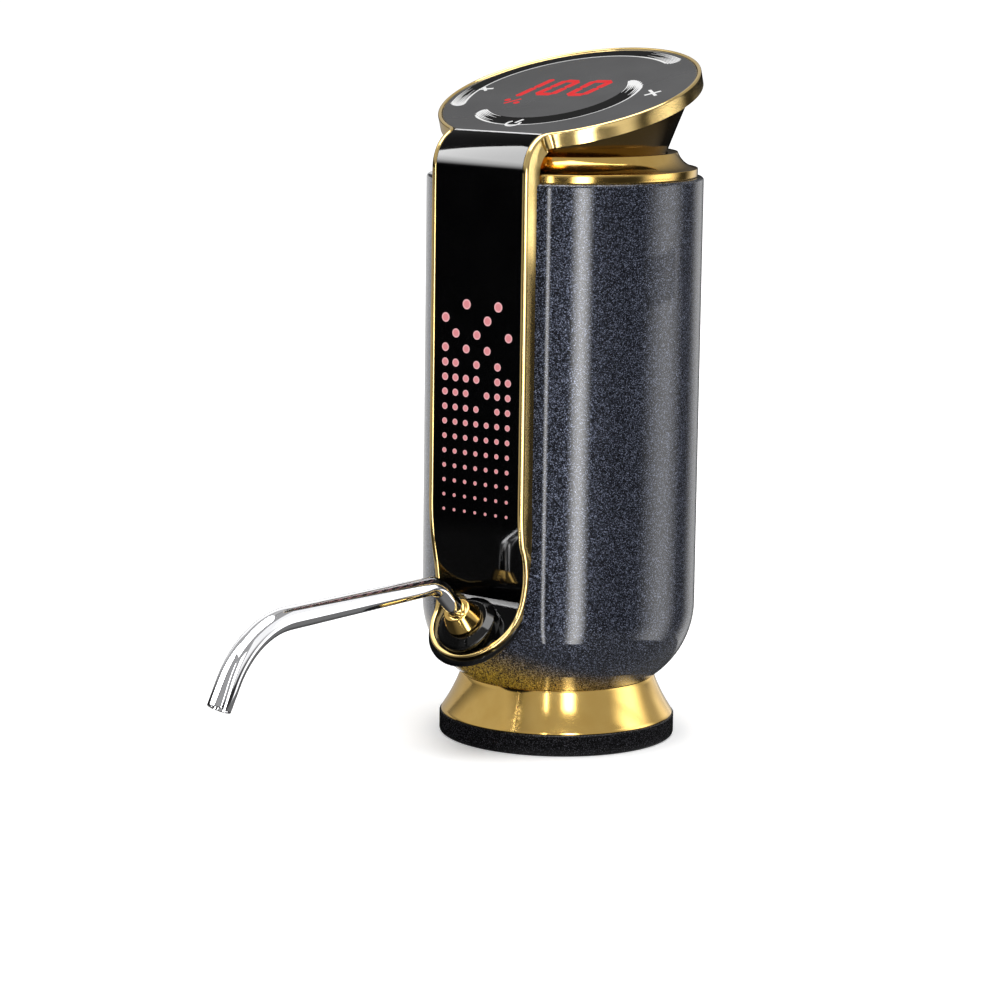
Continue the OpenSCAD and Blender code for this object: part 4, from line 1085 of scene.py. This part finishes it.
@dataclass
class Strap:
    """Gold frame and the black panel with its lights, in millimetres."""

    face_y: float = -32.0
    half: float = 13.3
    lip: float = 0.95
    bend: Corner = (-23.2, 133.77, 8.8)
    bend_u: float = -28.14
    scoop: Corner = (16.0, 57.8, 48.0)
    sink: float = 0.15
    panel_t: float = 1.85
    tab: float = 0.55
    taper: Corner = (1.4, 40.0, 32.4)
    back_top: float = 2.05
    columns: float = 3.03
    rows: float = 3.385
    top_row: float = 103.55
    lit: tuple[str, ...] = ("36", "15", "247", "135", "1246", "123467", "123567", "123467", *7 * ("1234567",))
    dots: Flat = (2.3, 0.72)
    dot_t: float = 0.06
    light_well: Corner = (10.4, 54.8, 106.45)
    rim_r: float = 30.75
    rim_deep: float = 3.4
    rim_floor: Corner = (24.0, 30.65, 1.7)
    rail_deep: float = 4.0
    rail_wide: float = 1.4
    rail_spread: float = 0.55
    bar_wide: float = 0.96
    bar_round: float = 0.42
    bar_proud: float = 0.08
    notch_r: float = 2.8
    notch_steps: int = 12
    toe_r: float = 11.95
    toe_deep: float = 1.1
    toe_wide: float = 1.25
    cheek_pulls: tuple[Corner, Corner] = ((2.5, 6.4, -17.7), (-1.9, -9.8, -9.8))
    cheek_steps: int = 18

    def build(self) -> None:
        """Makes the frame, what it carries, the panel and the lights."""
        self.build_frame()
        self.build_backs()
        self.build_panel()
        self.build_lights()

    def disc_stations(self) -> list[Station]:
        """Gives the bar's stations round the display's right half and through the notch beside the strap."""
        turned = FACE.to_3x3()
        middle = self.rim_r - self.bar_wide / 2
        x = self.half + self.notch_r
        u = -math.sqrt((self.rim_r + self.notch_r) ** 2 - x ** 2)
        meet = round(math.degrees(math.atan2(u, x)))
        stations = []
        for degrees in range(90, meet, -2):
            out = bearing(degrees)
            stations.append(Station(FACE @ (out * middle * MM), turned @ out, turned @ DOWN, self.rim_deep,
                                    self.bar_wide))
        for k in range(self.notch_steps + 1):
            share = k / self.notch_steps
            back = bearing(meet + 180 - meet * share)
            wide = self.bar_wide + (self.rail_wide - self.bar_wide) * share
            spot = Vector((x, u, 0)) + back * (self.notch_r + self.bar_wide - wide / 2)
            stations.append(self.on_bend(spot, -back, wide, self.rail_spread * share))
        return stations

    def on_bend(self, spot: Vector, out: Vector, wide: float, spread: float) -> Station:
        """Gives a station drawn on the display's plane, laid over the strap's bend where it passes it.

        Args:
            spot: Place on the display's plane.
            out: Way out of the bar on that plane.
            wide: The bar's width there.
            spread: Its spread to the outside.

        Returns:
            The station.
        """
        by, bz, br = self.bend
        past = self.bend_u - spot.y
        if past <= 0:
            turned = FACE.to_3x3()
            return Station(FACE @ (spot * MM), turned @ out, turned @ DOWN, self.rim_deep, wide, spread)
        angle = math.radians(90 + DISC_TILT) + past / br
        up = Vector((0, math.cos(angle), math.sin(angle)))
        ahead = Vector((0, -math.sin(angle), math.cos(angle)))
        middle = Vector((spot.x, by, bz)) + up * br
        return Station(middle * MM, Vector((out.x, 0, 0)) - ahead * out.y, -up, self.rail_deep, wide, spread)

    def rail_stations(self) -> list[Station]:
        """Gives the bar's stations down the right edge of the strap."""
        at = self.half - self.bar_wide + self.rail_wide / 2
        stations = []
        for (y, z, radius), first, last, step in ((self.bend, 120, 180, 3), (self.scoop, 180, 190, 2)):
            for degrees in range(first, last + 1, step):
                out = Vector((0, math.cos(math.radians(degrees)), math.sin(math.radians(degrees))))
                spot = Vector((at, y, z)) + out * radius
                deep = self.rail_deep - max(0, degrees - 180) / 10
                stations.append(Station(spot * MM, Vector((1, 0, 0)), -out, deep, self.rail_wide,
                                        self.rail_spread))
        return stations

    def toe_stations(self) -> list[Station]:
        """Gives the bar's stations round the right half of the toe, from the side to the front."""
        turned = SEAT.to_3x3()
        stations = []
        for degrees in range(-8, -91, -2):
            out = bearing(degrees)
            spot = out * (self.toe_r - self.toe_wide / 2) + Vector((0, TOE_BACK, 0))
            stations.append(Station(SEAT @ (spot * MM), turned @ out, turned @ DOWN, self.toe_deep,
                                    self.toe_wide))
        return stations

    def cheek_stations(self, start: Station, end: Station) -> list[Station]:
        """Gives the bar's stations on the curve between the rail and the toe.

        Args:
            start: Last station of the rail.
            end: First station of the toe.

        Returns:
            The stations between them.
        """
        leave, arrive = (Vector(pull) * MM for pull in self.cheek_pulls)
        stations = []
        for k in range(1, self.cheek_steps):
            t = k / self.cheek_steps
            spot = (start.spot * (2 * t ** 3 - 3 * t ** 2 + 1) + leave * (t ** 3 - 2 * t ** 2 + t)
                    + end.spot * (3 * t ** 2 - 2 * t ** 3) + arrive * (t ** 3 - t ** 2))
            out, down = start.out.lerp(end.out, t).normalized(), start.down.lerp(end.down, t).normalized()
            stations.append(Station(spot, out, down, start.deep + (end.deep - start.deep) * t,
                                    start.wide + (end.wide - start.wide) * t, start.spread * (1 - t)))
        return stations

    def build_frame(self) -> None:
        """Carries the gold bar round the display, down the strap and round the toe in one loop."""
        right, toe = self.disc_stations() + self.rail_stations(), self.toe_stations()
        right += self.cheek_stations(right[-1], toe[0]) + toe
        stations = right + [station.mirrored() for station in right[-2:0:-1]]
        rings = [station.ring(self.bar_round, self.bar_proud) for station in stations]
        fit(Bench.smooth(Bench.loop_bar("trim_frame_dressed", rings), 40), TRIM, "trim_frame")

    def build_backs(self) -> None:
        """Makes the black floor under the display and the gold plate behind the panel."""
        inner, edge, top = self.rim_floor
        rim = Bench.lathe("rim_floor", rounded([
            (inner, -self.rim_deep, 0.1), (edge, -self.rim_deep, 0.3), (edge, -top, 0), (inner, -top, 0.1)]),
            FACE)
        fit(Bench.smooth(rim), NECK_GOLD_REFLECTION)
        plate = self.strap_prism("strap_back", self.back_top, self.rail_deep, self.half - 0.5, 0.0)
        wide, low, high = self.light_well
        Bench.cut(plate, Bench.prism("well_tool", box(-wide, wide, low, high), 20, 40, FRONT))
        fit(Bench.smooth(plate), GOLD)

    def strap_prism(self, name: str, outer: float, inner: float, half: float, tab: float) -> Piece:
        """Carries the strap's side section across and trims it to the frame and the toe.

        Args:
            name: Name of the new object.
            outer: Depth of its outer face below the strap's face.
            inner: Depth of its inner face.
            half: Half of its width.
            tab: Length of its flat tab on the display's plane.

        Returns:
            The new object.
        """
        by, bz, br = self.bend
        sy, sz, sr = self.scoop
        flat_top = 90 + DISC_TILT
        lean = Vector((math.cos(math.radians(DISC_TILT)), math.sin(math.radians(DISC_TILT))))
        outside = arc((by, bz), br - outer, flat_top, 180, 2) + arc((sy, sz), sr - outer, 180, 216, 1)
        inside = arc((sy, sz), sr - inner, 216, 180, 1) + arc((by, bz), br - inner, 180, flat_top, 2)
        ends = [tuple(Vector(p) + lean * tab) for p in (inside[-1], outside[0])] if tab else []
        piece = Bench.prism(name, outside + inside + ends, -half, half, SIDE)
        narrower, flare, low = self.taper
        slim, above = half - narrower, 160
        outline = [(-half, above), (half, above), (half, flare), (slim, low), (-slim, low), (-half, flare)]
        Bench.cut(piece, Bench.prism("strap_tool", outline, -40, 45, FRONT), Cut.KEEP)
        Bench.edit(piece)
        bpy.ops.mesh.bisect(plane_co=SEAT @ (DOWN * MM), plane_no=-(SEAT.to_3x3() @ DOWN),
                            use_fill=True, clear_inner=True)
        return Bench.mend(piece)

    def build_panel(self) -> None:
        """Makes the black panel that the frame edges."""
        panel = self.strap_prism("front_panel_dressed", self.sink, self.sink + self.panel_t,
                                 self.half - self.lip, self.tab)
        fit(Bench.soften(panel, 0.08, 50), BLACK, "front_panel")

    def build_lights(self) -> None:
        """Models one light with a deeper core and sets a copy at each lit place."""
        Bench.clear()
        bpy.ops.mesh.primitive_circle_add(vertices=20, radius=0.5, fill_type="NGON",
                                          rotation=(math.radians(90), 0, 0))
        light = bpy.context.object
        bpy.ops.object.transform_apply(location=False, rotation=True, scale=False)
        Bench.edit(light)
        bpy.ops.mesh.inset(thickness=0.13)
        for finish in (ROSE, ROSE_CORE):
            light.data.materials.append(finish.material())
        light.active_material_index = 1
        bpy.ops.object.material_slot_assign()
        Bench.clear()
        copies = []
        for row, columns in enumerate(self.lit):
            wide = self.dots[0] + (self.dots[1] - self.dots[0]) * row / (len(self.lit) - 1)
            for column in columns:
                dot = light.copy()
                dot.data = light.data.copy()
                bpy.context.collection.objects.link(dot)
                spot = Vector(((int(column) - 4) * self.columns, self.face_y + self.sink - self.dot_t / 2,
                               self.top_row - row * self.rows)) * MM
                copies.append(Bench.place(dot, Matrix.Translation(spot) @ Matrix.Scale(wide * MM, 4)))
        bpy.data.objects.remove(light)
        lights = Bench.join("strap_lights", copies)
        Bench.apply(lights, "SOLIDIFY", thickness=self.dot_t * MM, offset=-1)
        settle(lights, ROSE)


@dataclass
class Shelf:
    """Black toe with the platform that the socket stands on, in millimetres."""

    dish: Corner = (11.85, -0.7, -1.9)
    rim: float = 0.9
    apron: Corner = (2.35, 12.15, -0.95)
    root: Flat = (6.5, -12.0)
    sides: tuple[Flat, ...] = (
        (-12.5, 10), (-12.3, 8), (-11.7, TOE_BACK), (11.7, TOE_BACK), (12.3, 8), (12.5, 10))
    level: float = -1.0
    back: float = -25.4
    bore: float = 4.25

    def build(self) -> None:
        """Spins the toe's dish, joins it to the strap, bores it for the socket and adds its apron."""
        wide, top, foot = self.dish
        slim, deep = self.root
        shelf = Bench.lathe("spout_shelf_dressed", rounded([
            (0, deep, 0), (slim, deep, 0.5), (slim + 0.4, foot - 1.6, 1.5), (wide, foot, 0.5),
            (wide, top, 0.1), (wide - self.rim, top, 0), (wide - self.rim, self.level, 0),
            (0, self.level, 0)], 6), TOE, 128)
        # A hair above the dish's level, so that no two faces of the join share a plane
        platform = Bench.prism("shelf_tool", self.sides, self.level - 3, self.level + 0.004, SEAT)
        Bench.cut(shelf, platform, Cut.JOIN)
        Bench.cut(shelf, Bench.lathe("bore_tool", box(0, self.bore, -20, 2), SEAT, 64))
        Bench.mend(Bench.cut(shelf, Bench.prism("back_tool", box(-30, 30, self.back, 20), 0, 70)))
        below, reach, crown = self.apron
        inner = slim + 1.5
        apron = Bench.lathe("apron", rounded([
            (inner, foot - 0.6, 0), (reach, foot - 0.4, 0.6), (reach, crown, 0.5),
            (inner, crown - 0.2, 0)], 6), SEAT @ Matrix.Translation((0, below * MM, 0)), 128)
        fit(Bench.smooth(Bench.join("spout_shelf_dressed", [apron, shelf])), BLACK, "spout_shelf")


@dataclass
class Spout:
    """Socket, ferrule and bent tube, in millimetres and degrees."""

    socket_r: float = 7.3
    socket_top: float = 2.5
    stem_r: float = 2.9
    stem_bore: float = 3.0
    channel: float = 1.4
    groove_r: float = 1.85
    grooves: tuple[Flat, Flat] = ((-2.75, -1.65), (-0.95, 0.15))
    ferrule: tuple[float, float, float, float] = (2.55, 6.65, 4.45, 3.2)
    tube: Flat = (2.15, 2.65)
    wall: float = 0.65
    rise: float = 16.2
    first_bend: float = 8.0
    level_end: float = -94.8
    second_bend: float = 22.0
    second_turn: float = 60.0
    mouth: float = 6.0

    def build(self) -> None:
        """Makes the pieces of the spout."""
        self.build_socket()
        self.build_ferrule()
        self.build_tube()

    def build_socket(self) -> None:
        """Spins the black socket with its sloping top and the nipple for the hose."""
        wide, bore, channel = self.socket_r, self.stem_bore, self.channel
        socket = Bench.lathe("spout_socket_dressed", rounded([
            (channel, -8.5, 0), (2.0, -8.5, 0.1), (2.0, -4, 0), (4.2, -4, 0), (4.2, -1, 0), (wide, -1, 0.05),
            (wide, 1.5, 0.5), (5.6, self.socket_top, 0.6), (bore, self.socket_top, 0.15),
            (bore, -3.25, 0), (channel, -3.25, 0)]), SEAT, 96)
        fit(Bench.smooth(socket), BLACK, "spout_socket")

    def build_ferrule(self) -> None:
        """Spins the gold ferrule with its stem and seal grooves."""
        low, top, wide, slim = self.ferrule
        stem, neck = self.stem_r, self.groove_r
        corners = [(1.5, -3.2, 0), (stem, -3.2, 0.3)]
        for start, end in self.grooves:
            corners += [(stem, start, 0), (neck, start, 0), (neck, end, 0), (stem, end, 0)]
        corners += [(stem, low, 0), (wide, low, 0.25), (wide, low + 0.6, 0.3), (slim, top - 0.1, 0.5),
                    (2.2, top, 0.1), (2.2, low + 0.3, 0), (1.5, low + 0.3, 0)]
        ferrule = Bench.lathe("spout_ferrule_dressed", rounded(corners), SEAT, 96)
        fit(Bench.smooth(ferrule), GOLD, "spout_ferrule", body=Body.SPOUT)

    def path(self) -> tuple[list[Flat], list[Flat]]:
        """Gives the tube's middle line as y and z: up to the level run, and from its end to the mouth."""
        origin = SEAT.translation / MM
        slope = math.sin(math.radians(SEAT_LEAN))
        corner = (origin.y - self.rise * slope, origin.z + self.rise * slope)
        back = self.first_bend * math.tan(math.radians((90 - SEAT_LEAN) / 2))
        start = self.ferrule[0] + 0.3
        first = [(origin.y - start * slope, origin.z + start * slope)]
        first += arc((corner[0] - back, corner[1] - self.first_bend), self.first_bend, SEAT_LEAN, 90)
        end = 90 + self.second_turn
        last = arc((self.level_end, corner[1] - self.second_bend), self.second_bend, 90, end)
        y, z = last[-1]
        angle = math.radians(end)
        last.append((y - self.mouth * math.sin(angle), z + self.mouth * math.cos(angle)))
        return first, last

    def build_tube(self) -> None:
        """Sweeps the tube along its line, widening to the mouth, and gives it a wall."""
        first, last = self.path()
        line = first + last
        narrow, wide = self.tube
        corner = first[-1][0]
        shares = [min(1.0, max(0.0, (corner - y) / (corner - self.level_end))) for y, _ in line]
        tube = Bench.sweep("spout_tube_dressed", [Vector((0, y, z)) * MM for y, z in line],
                           [narrow + (wide - narrow) * share for share in shares], 14)
        Bench.apply(tube, "SOLIDIFY", thickness=self.wall * MM, offset=-1)
        Bench.apply(tube, "BEVEL", width=0.12 * MM, segments=2, limit_method="ANGLE",
                    angle_limit=math.radians(60))
        fit(Bench.smooth(tube, 35), CHROME, "spout_tube", body=Body.SPOUT)


@dataclass
class Pump:
    """The pump's rubber diaphragm, its stems clear of the nodding plate, in millimetres and degrees."""

    spot: Corner = (-8.9887, -11.505, 49.5)
    flange: Flat = (13.2, 1.2)
    pitch: float = 5.5
    turns: tuple[float, ...] = (90, 210, 330)
    cup: Corner = (3.78, 3.16, 3.3)
    cup_foot: float = 0.4
    hollow: Corner = (3.2, 2.36, 2.5)
    stem: Flat = (1.1, 3.9)
    bolts: tuple[float, ...] = (30, 150, 270)
    bolt: Flat = (11.5, 1.0)

    def around(self, turn: float, out: float) -> Matrix:
        """Gives a frame at a bearing and a distance from the pump's axis."""
        spot = Matrix.Translation(Vector(self.spot) * MM) @ Matrix.Rotation(math.radians(turn), 4, "Z")
        return spot @ Matrix.Translation((out * MM, 0, 0))

    def build(self) -> None:
        """Spins the flange, sets the air chambers on it, hollows them and bores the screw holes."""
        wide, thick = self.flange
        skin = Bench.lathe("pump_diaphragm_dressed", rounded([
            (0, 0, 0), (wide, 0, 0.1), (wide, thick, 0.1), (0, thick, 0)]), self.around(0, 0), 96)
        low, top, high = self.cup
        slim, tip = self.stem
        wall_low, wall_top, roof = self.hollow
        cup = rounded([(0, self.cup_foot, 0), (low, self.cup_foot, 0), (top, high, 0.5), (slim, high, 0.2),
                       (slim, tip, 0.25), (0, tip, 0)])
        hollow = [(0, -0.5), (wall_low, -0.5), (wall_top, roof), (0, roof)]
        for turn in self.turns:
            seat = self.around(turn, self.pitch)
            Bench.cut(skin, Bench.lathe("cup_tool", cup, seat, 48), Cut.JOIN)
            Bench.cut(skin, Bench.lathe("hollow_tool", hollow, seat, 48))
        out, hole = self.bolt
        for turn in self.bolts:
            Bench.cut(skin, Bench.lathe("hole_tool", box(0, hole, -1, thick + 1), self.around(turn, out), 24))
        fit(Bench.smooth(Bench.mend(skin)), SEAL, "pump_diaphragm")


class Inside:
    """Works inside the sleeve that keep their solids."""

    @staticmethod
    def dress() -> None:
        """Gives each carried-over solid its finish."""
        for finish, nodes in CARRIED.items():
            for node in nodes:
                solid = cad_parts[node]
                solid.data.materials.clear()
                solid.data.materials.append(finish.material())
                LOG.info("%s: solid in %s", node, finish.slot)


BODY, TUBE, SKIRT = "body_shell_dressed", "spout_tube_dressed", "base_skirt_dressed"
FRAME, COLLAR = "trim_frame_dressed", "top_collar_dressed"
PAINTED = (BODY, "spout_socket_dressed", TUBE)
GILT = ("strap_back", COLLAR, SKIRT, "spout_ferrule_dressed")


@dataclass
class Card:
    """Bright board that only shows in the reflections of some pieces.

    Its bearings are in degrees from the front, its heights and its distance in millimetres.
    """

    name: str
    bearing: Flat
    span: Flat
    glow: float
    seen_by: tuple[str, ...]
    distance: float = 200.0
    fade_sides: float = 0.0
    fade_low: float = 0.0


@dataclass
class Studio:
    """Floor and lamp in metres, reflection boards, and the camera in millimetres, degrees and pixels."""

    floor_size: float = 80.0
    lamp_spot: Corner = (0.1, -0.1, 1.4)
    lamp_size: float = 1.3
    lamp_power: float = 24.0
    sky: tuple[Flat, ...] = ((-90, 0.2), (-24, 0.2), (-17, 0.03), (2, 0.03), (8, 0.42), (60, 0.42), (75, 0.2))
    sky_sides: tuple[float, float, float, float] = (0.2, 1.0, -0.45, 0.1)
    distance: float = 790.783
    camera_z: float = 189.097
    azimuth: float = 37.258
    pitch: float = 9.638
    yaw: float = 1.007
    roll: float = 0.771
    focal: float = 3418.396
    frame_px: float = 1001.0
    sensor: float = 36.0
    card_grid: tuple[int, int] = (24, 10)
    cards: tuple[Card, ...] = (
        Card("strip_narrow", (23.6, 27.8), (-100, 150), 8.0, (*PAINTED, FRAME, *GILT), fade_sides=0.5),
        Card("strip_wide", (41, 61), (-100, 150), 9.0, (*PAINTED, FRAME, *GILT), fade_sides=0.5),
        Card("board_right", (98, 150), (-80, 150), 2.2, (*PAINTED, *GILT), fade_sides=0.5),
        Card("board_rim", (98, 150), (96, 150), 2.2, (FRAME,), fade_sides=0.5),
        Card("board_rear", (156, 200), (-60, 150), 0.8, (*PAINTED, FRAME, *GILT), fade_sides=0.45),
        Card("board_left", (-66, -12), (450, 5300), 11.0, ("front_panel_dressed", TUBE), 3000.0,
             fade_low=0.16),
        Card("sheet_rail_left", (-150, -15), (-900, 0), 0.36, (FRAME,), 2700.0, fade_sides=0.1),
        Card("sheet_rail_right", (0, 104), (-900, 0), 0.8, (FRAME,), 2700.0, fade_sides=0.15),
        Card("sheet_toe", (-92, -52), (1900, 5200), 1.0, (FRAME,), 2500.0, fade_sides=0.2),
        Card("board_edge", (-142, -84), (-100, 150), 0.85, (BODY,), fade_low=0.1),
        Card("sheet_skirt", (-168, -80), (-600, 460), 0.42, (SKIRT,), 2700.0),
        Card("sheet_tube", (96, 262), (-60, 1900), 0.8, (TUBE,), 2000.0, fade_low=0.08),
        Card("sheet_soft", (-175, -5), (400, 6000), 0.42,
             (TUBE, FRAME, "strap_back", SKIRT, "spout_ferrule_dressed"), 2700.0,
             fade_sides=0.12, fade_low=0.1),
    )

    def build(self) -> None:
        """Sets the whole studio up."""
        self.build_floor()
        self.build_light()
        for card in self.cards:
            self.build_card(card)
        self.build_camera()
        bpy.context.scene.view_settings.view_transform = "Standard"

    def build_floor(self) -> None:
        """Lays the pale floor, which glows with painted light that grows away from the object."""
        Bench.clear()
        bpy.ops.mesh.primitive_plane_add(size=self.floor_size)
        floor = bpy.context.object
        floor.name = "floor"
        palette = Palette("floor_painted_glow")
        value = palette.noise(60)
        palette.feed("Base Color", palette.ramp(value, [
            (0.3, (0.90, 0.90, 0.90)), (0.7, (0.92, 0.92, 0.92))]))
        palette.set({"Roughness": 0.9, "Specular IOR Level": 0.1, "Emission Color": (1, 1, 1, 1)})
        # Painted light: the floor glows, dimmer near the object and brighter far off
        away = palette.vector("LENGTH", palette.spot)
        palette.feed("Emission Strength", palette.ramp(away.outputs["Value"], [
            (0.1, (0.3, 0.3, 0.3)), (0.9, (0.85, 0.85, 0.85))]))
        floor.data.materials.append(palette.material)
        floor.visible_glossy = False

    def build_light(self) -> None:
        """Hangs the soft light and sets the sky around it."""
        Bench.clear()
        bpy.ops.object.light_add(type="AREA", location=self.lamp_spot)
        lamp = bpy.context.object
        lamp.name = "soft_top"
        lamp.data.shape = "SQUARE"
        lamp.data.size = self.lamp_size
        lamp.data.energy = self.lamp_power
        world = bpy.data.worlds.new("studio_sky")
        bpy.context.scene.world = world
        world.use_nodes = True
        nodes = Nodes(world.node_tree)
        back = nodes.tree.nodes["Background"]
        parts = nodes.add("ShaderNodeSeparateXYZ")
        nodes.link(nodes.add("ShaderNodeTexCoord").outputs["Generated"], parts.inputs["Vector"])
        stops = [((math.sin(math.radians(height)) + 1) / 2, (level,) * 3) for height, level in self.sky]
        nodes.link(nodes.ramp(nodes.span(parts.outputs["Z"], 0, 1, -1, 1), stops), back.inputs["Color"])
        nodes.link(nodes.span(parts.outputs["X"], *self.sky_sides), back.inputs["Strength"])

    def build_card(self, card: Card) -> None:
        """Bends one board about the object, over its bearings and heights, and fades its edges.

        Args:
            card: The board's facts.
        """
        reach = card.distance * MM
        low, high = (value * MM for value in card.span)
        first, last = card.bearing
        columns, rows = self.card_grid
        points = []
        for k in range(columns + 1):
            angle = math.radians(first + (last - first) * k / columns)
            points.append(Vector((math.sin(angle) * reach, -math.cos(angle) * reach, low)))
        board = Bench.chain(card.name, points, False)
        Bench.edit(board)
        for _ in range(rows):
            bpy.ops.mesh.extrude_region_move(TRANSFORM_OT_translate={"value": (0, 0, (high - low) / rows)})
        Bench.clear()
        glow = board.data.attributes.new("glow", "FLOAT", "POINT")
        for vertex in board.data.vertices:
            angle = math.degrees(math.atan2(vertex.co.x, -vertex.co.y))
            side = ((angle - first) % 360) / (last - first)
            rise = (vertex.co.z - low) / (high - low)
            share = self.fade(min(side, 1 - side), card.fade_sides) * self.fade(rise, card.fade_low)
            glow.data[vertex.index].value = share * card.glow
        board.data.materials.append(self.card_light(card))
        board.visible_camera = board.visible_diffuse = board.visible_shadow = False

    @staticmethod
    def card_light(card: Card) -> bpy.types.Material:
        """Gives a clear material that glows as strongly as the board's own points say."""
        palette = Palette(f"{card.name}_light")
        lamp = palette.add("ShaderNodeEmission")
        level = palette.add("ShaderNodeAttribute", attribute_name="glow")
        palette.link(level.outputs["Fac"], lamp.inputs["Strength"])
        clear = palette.add("ShaderNodeBsdfTransparent")
        both = palette.add("ShaderNodeAddShader")
        palette.link(lamp.outputs["Emission"], both.inputs[0])
        palette.link(clear.outputs["BSDF"], both.inputs[1])
        palette.link(both.outputs["Shader"], palette.tree.nodes["Material Output"].inputs["Surface"])
        return palette.material

    def aim(self) -> None:
        """Lets each board light its own pieces alone."""
        for card in self.cards:
            pieces = bpy.data.collections.new(f"{card.name}_pieces")
            for name in card.seen_by:
                pieces.objects.link(bpy.data.objects[name])
            bpy.data.objects[card.name].light_linking.receiver_collection = pieces

    @staticmethod
    def fade(at: float, reach: float) -> float:
        """Gives a soft rise from 0 to 1 over a reach."""
        if reach <= 0 or at >= reach:
            return 1.0
        return math.sin(math.pi / 2 * max(0.0, at) / reach) ** 2

    def build_camera(self) -> None:
        """Sets the camera where the picture was taken from."""
        turn = math.radians(self.azimuth)
        spot = Vector((math.sin(turn) * self.distance, -math.cos(turn) * self.distance, self.camera_z)) * MM
        look, dip, roll = (math.radians(value) for value in (self.azimuth + self.yaw, self.pitch, self.roll))
        ahead = Vector((-math.sin(look) * math.cos(dip), math.cos(look) * math.cos(dip), -math.sin(dip)))
        right = Vector((math.cos(look), math.sin(look), 0))
        up = right.cross(ahead)
        right, up = right * math.cos(roll) + up * math.sin(roll), up * math.cos(roll) - right * math.sin(roll)
        Bench.clear()
        bpy.ops.object.camera_add()
        camera = bpy.context.object
        camera.matrix_world = Matrix.Translation(spot) @ Matrix((right, up, -ahead)).transposed().to_4x4()
        camera.data.sensor_width = self.sensor
        camera.data.lens = self.focal * self.sensor / self.frame_px
        camera.data.clip_start = 0.01
        bpy.context.scene.camera = camera


def main() -> None:
    """Builds the pieces in order."""
    logging.basicConfig(level=logging.INFO, format="%(name)s %(message)s")
    studio = Studio()
    studio.build()
    Inside.dress()
    for assembly in (Pump(), Base(), Sleeve(), Head(), Strap(), Shelf(), Spout()):
        assembly.build()
    studio.aim()


if __name__ == "__main__":
    main()
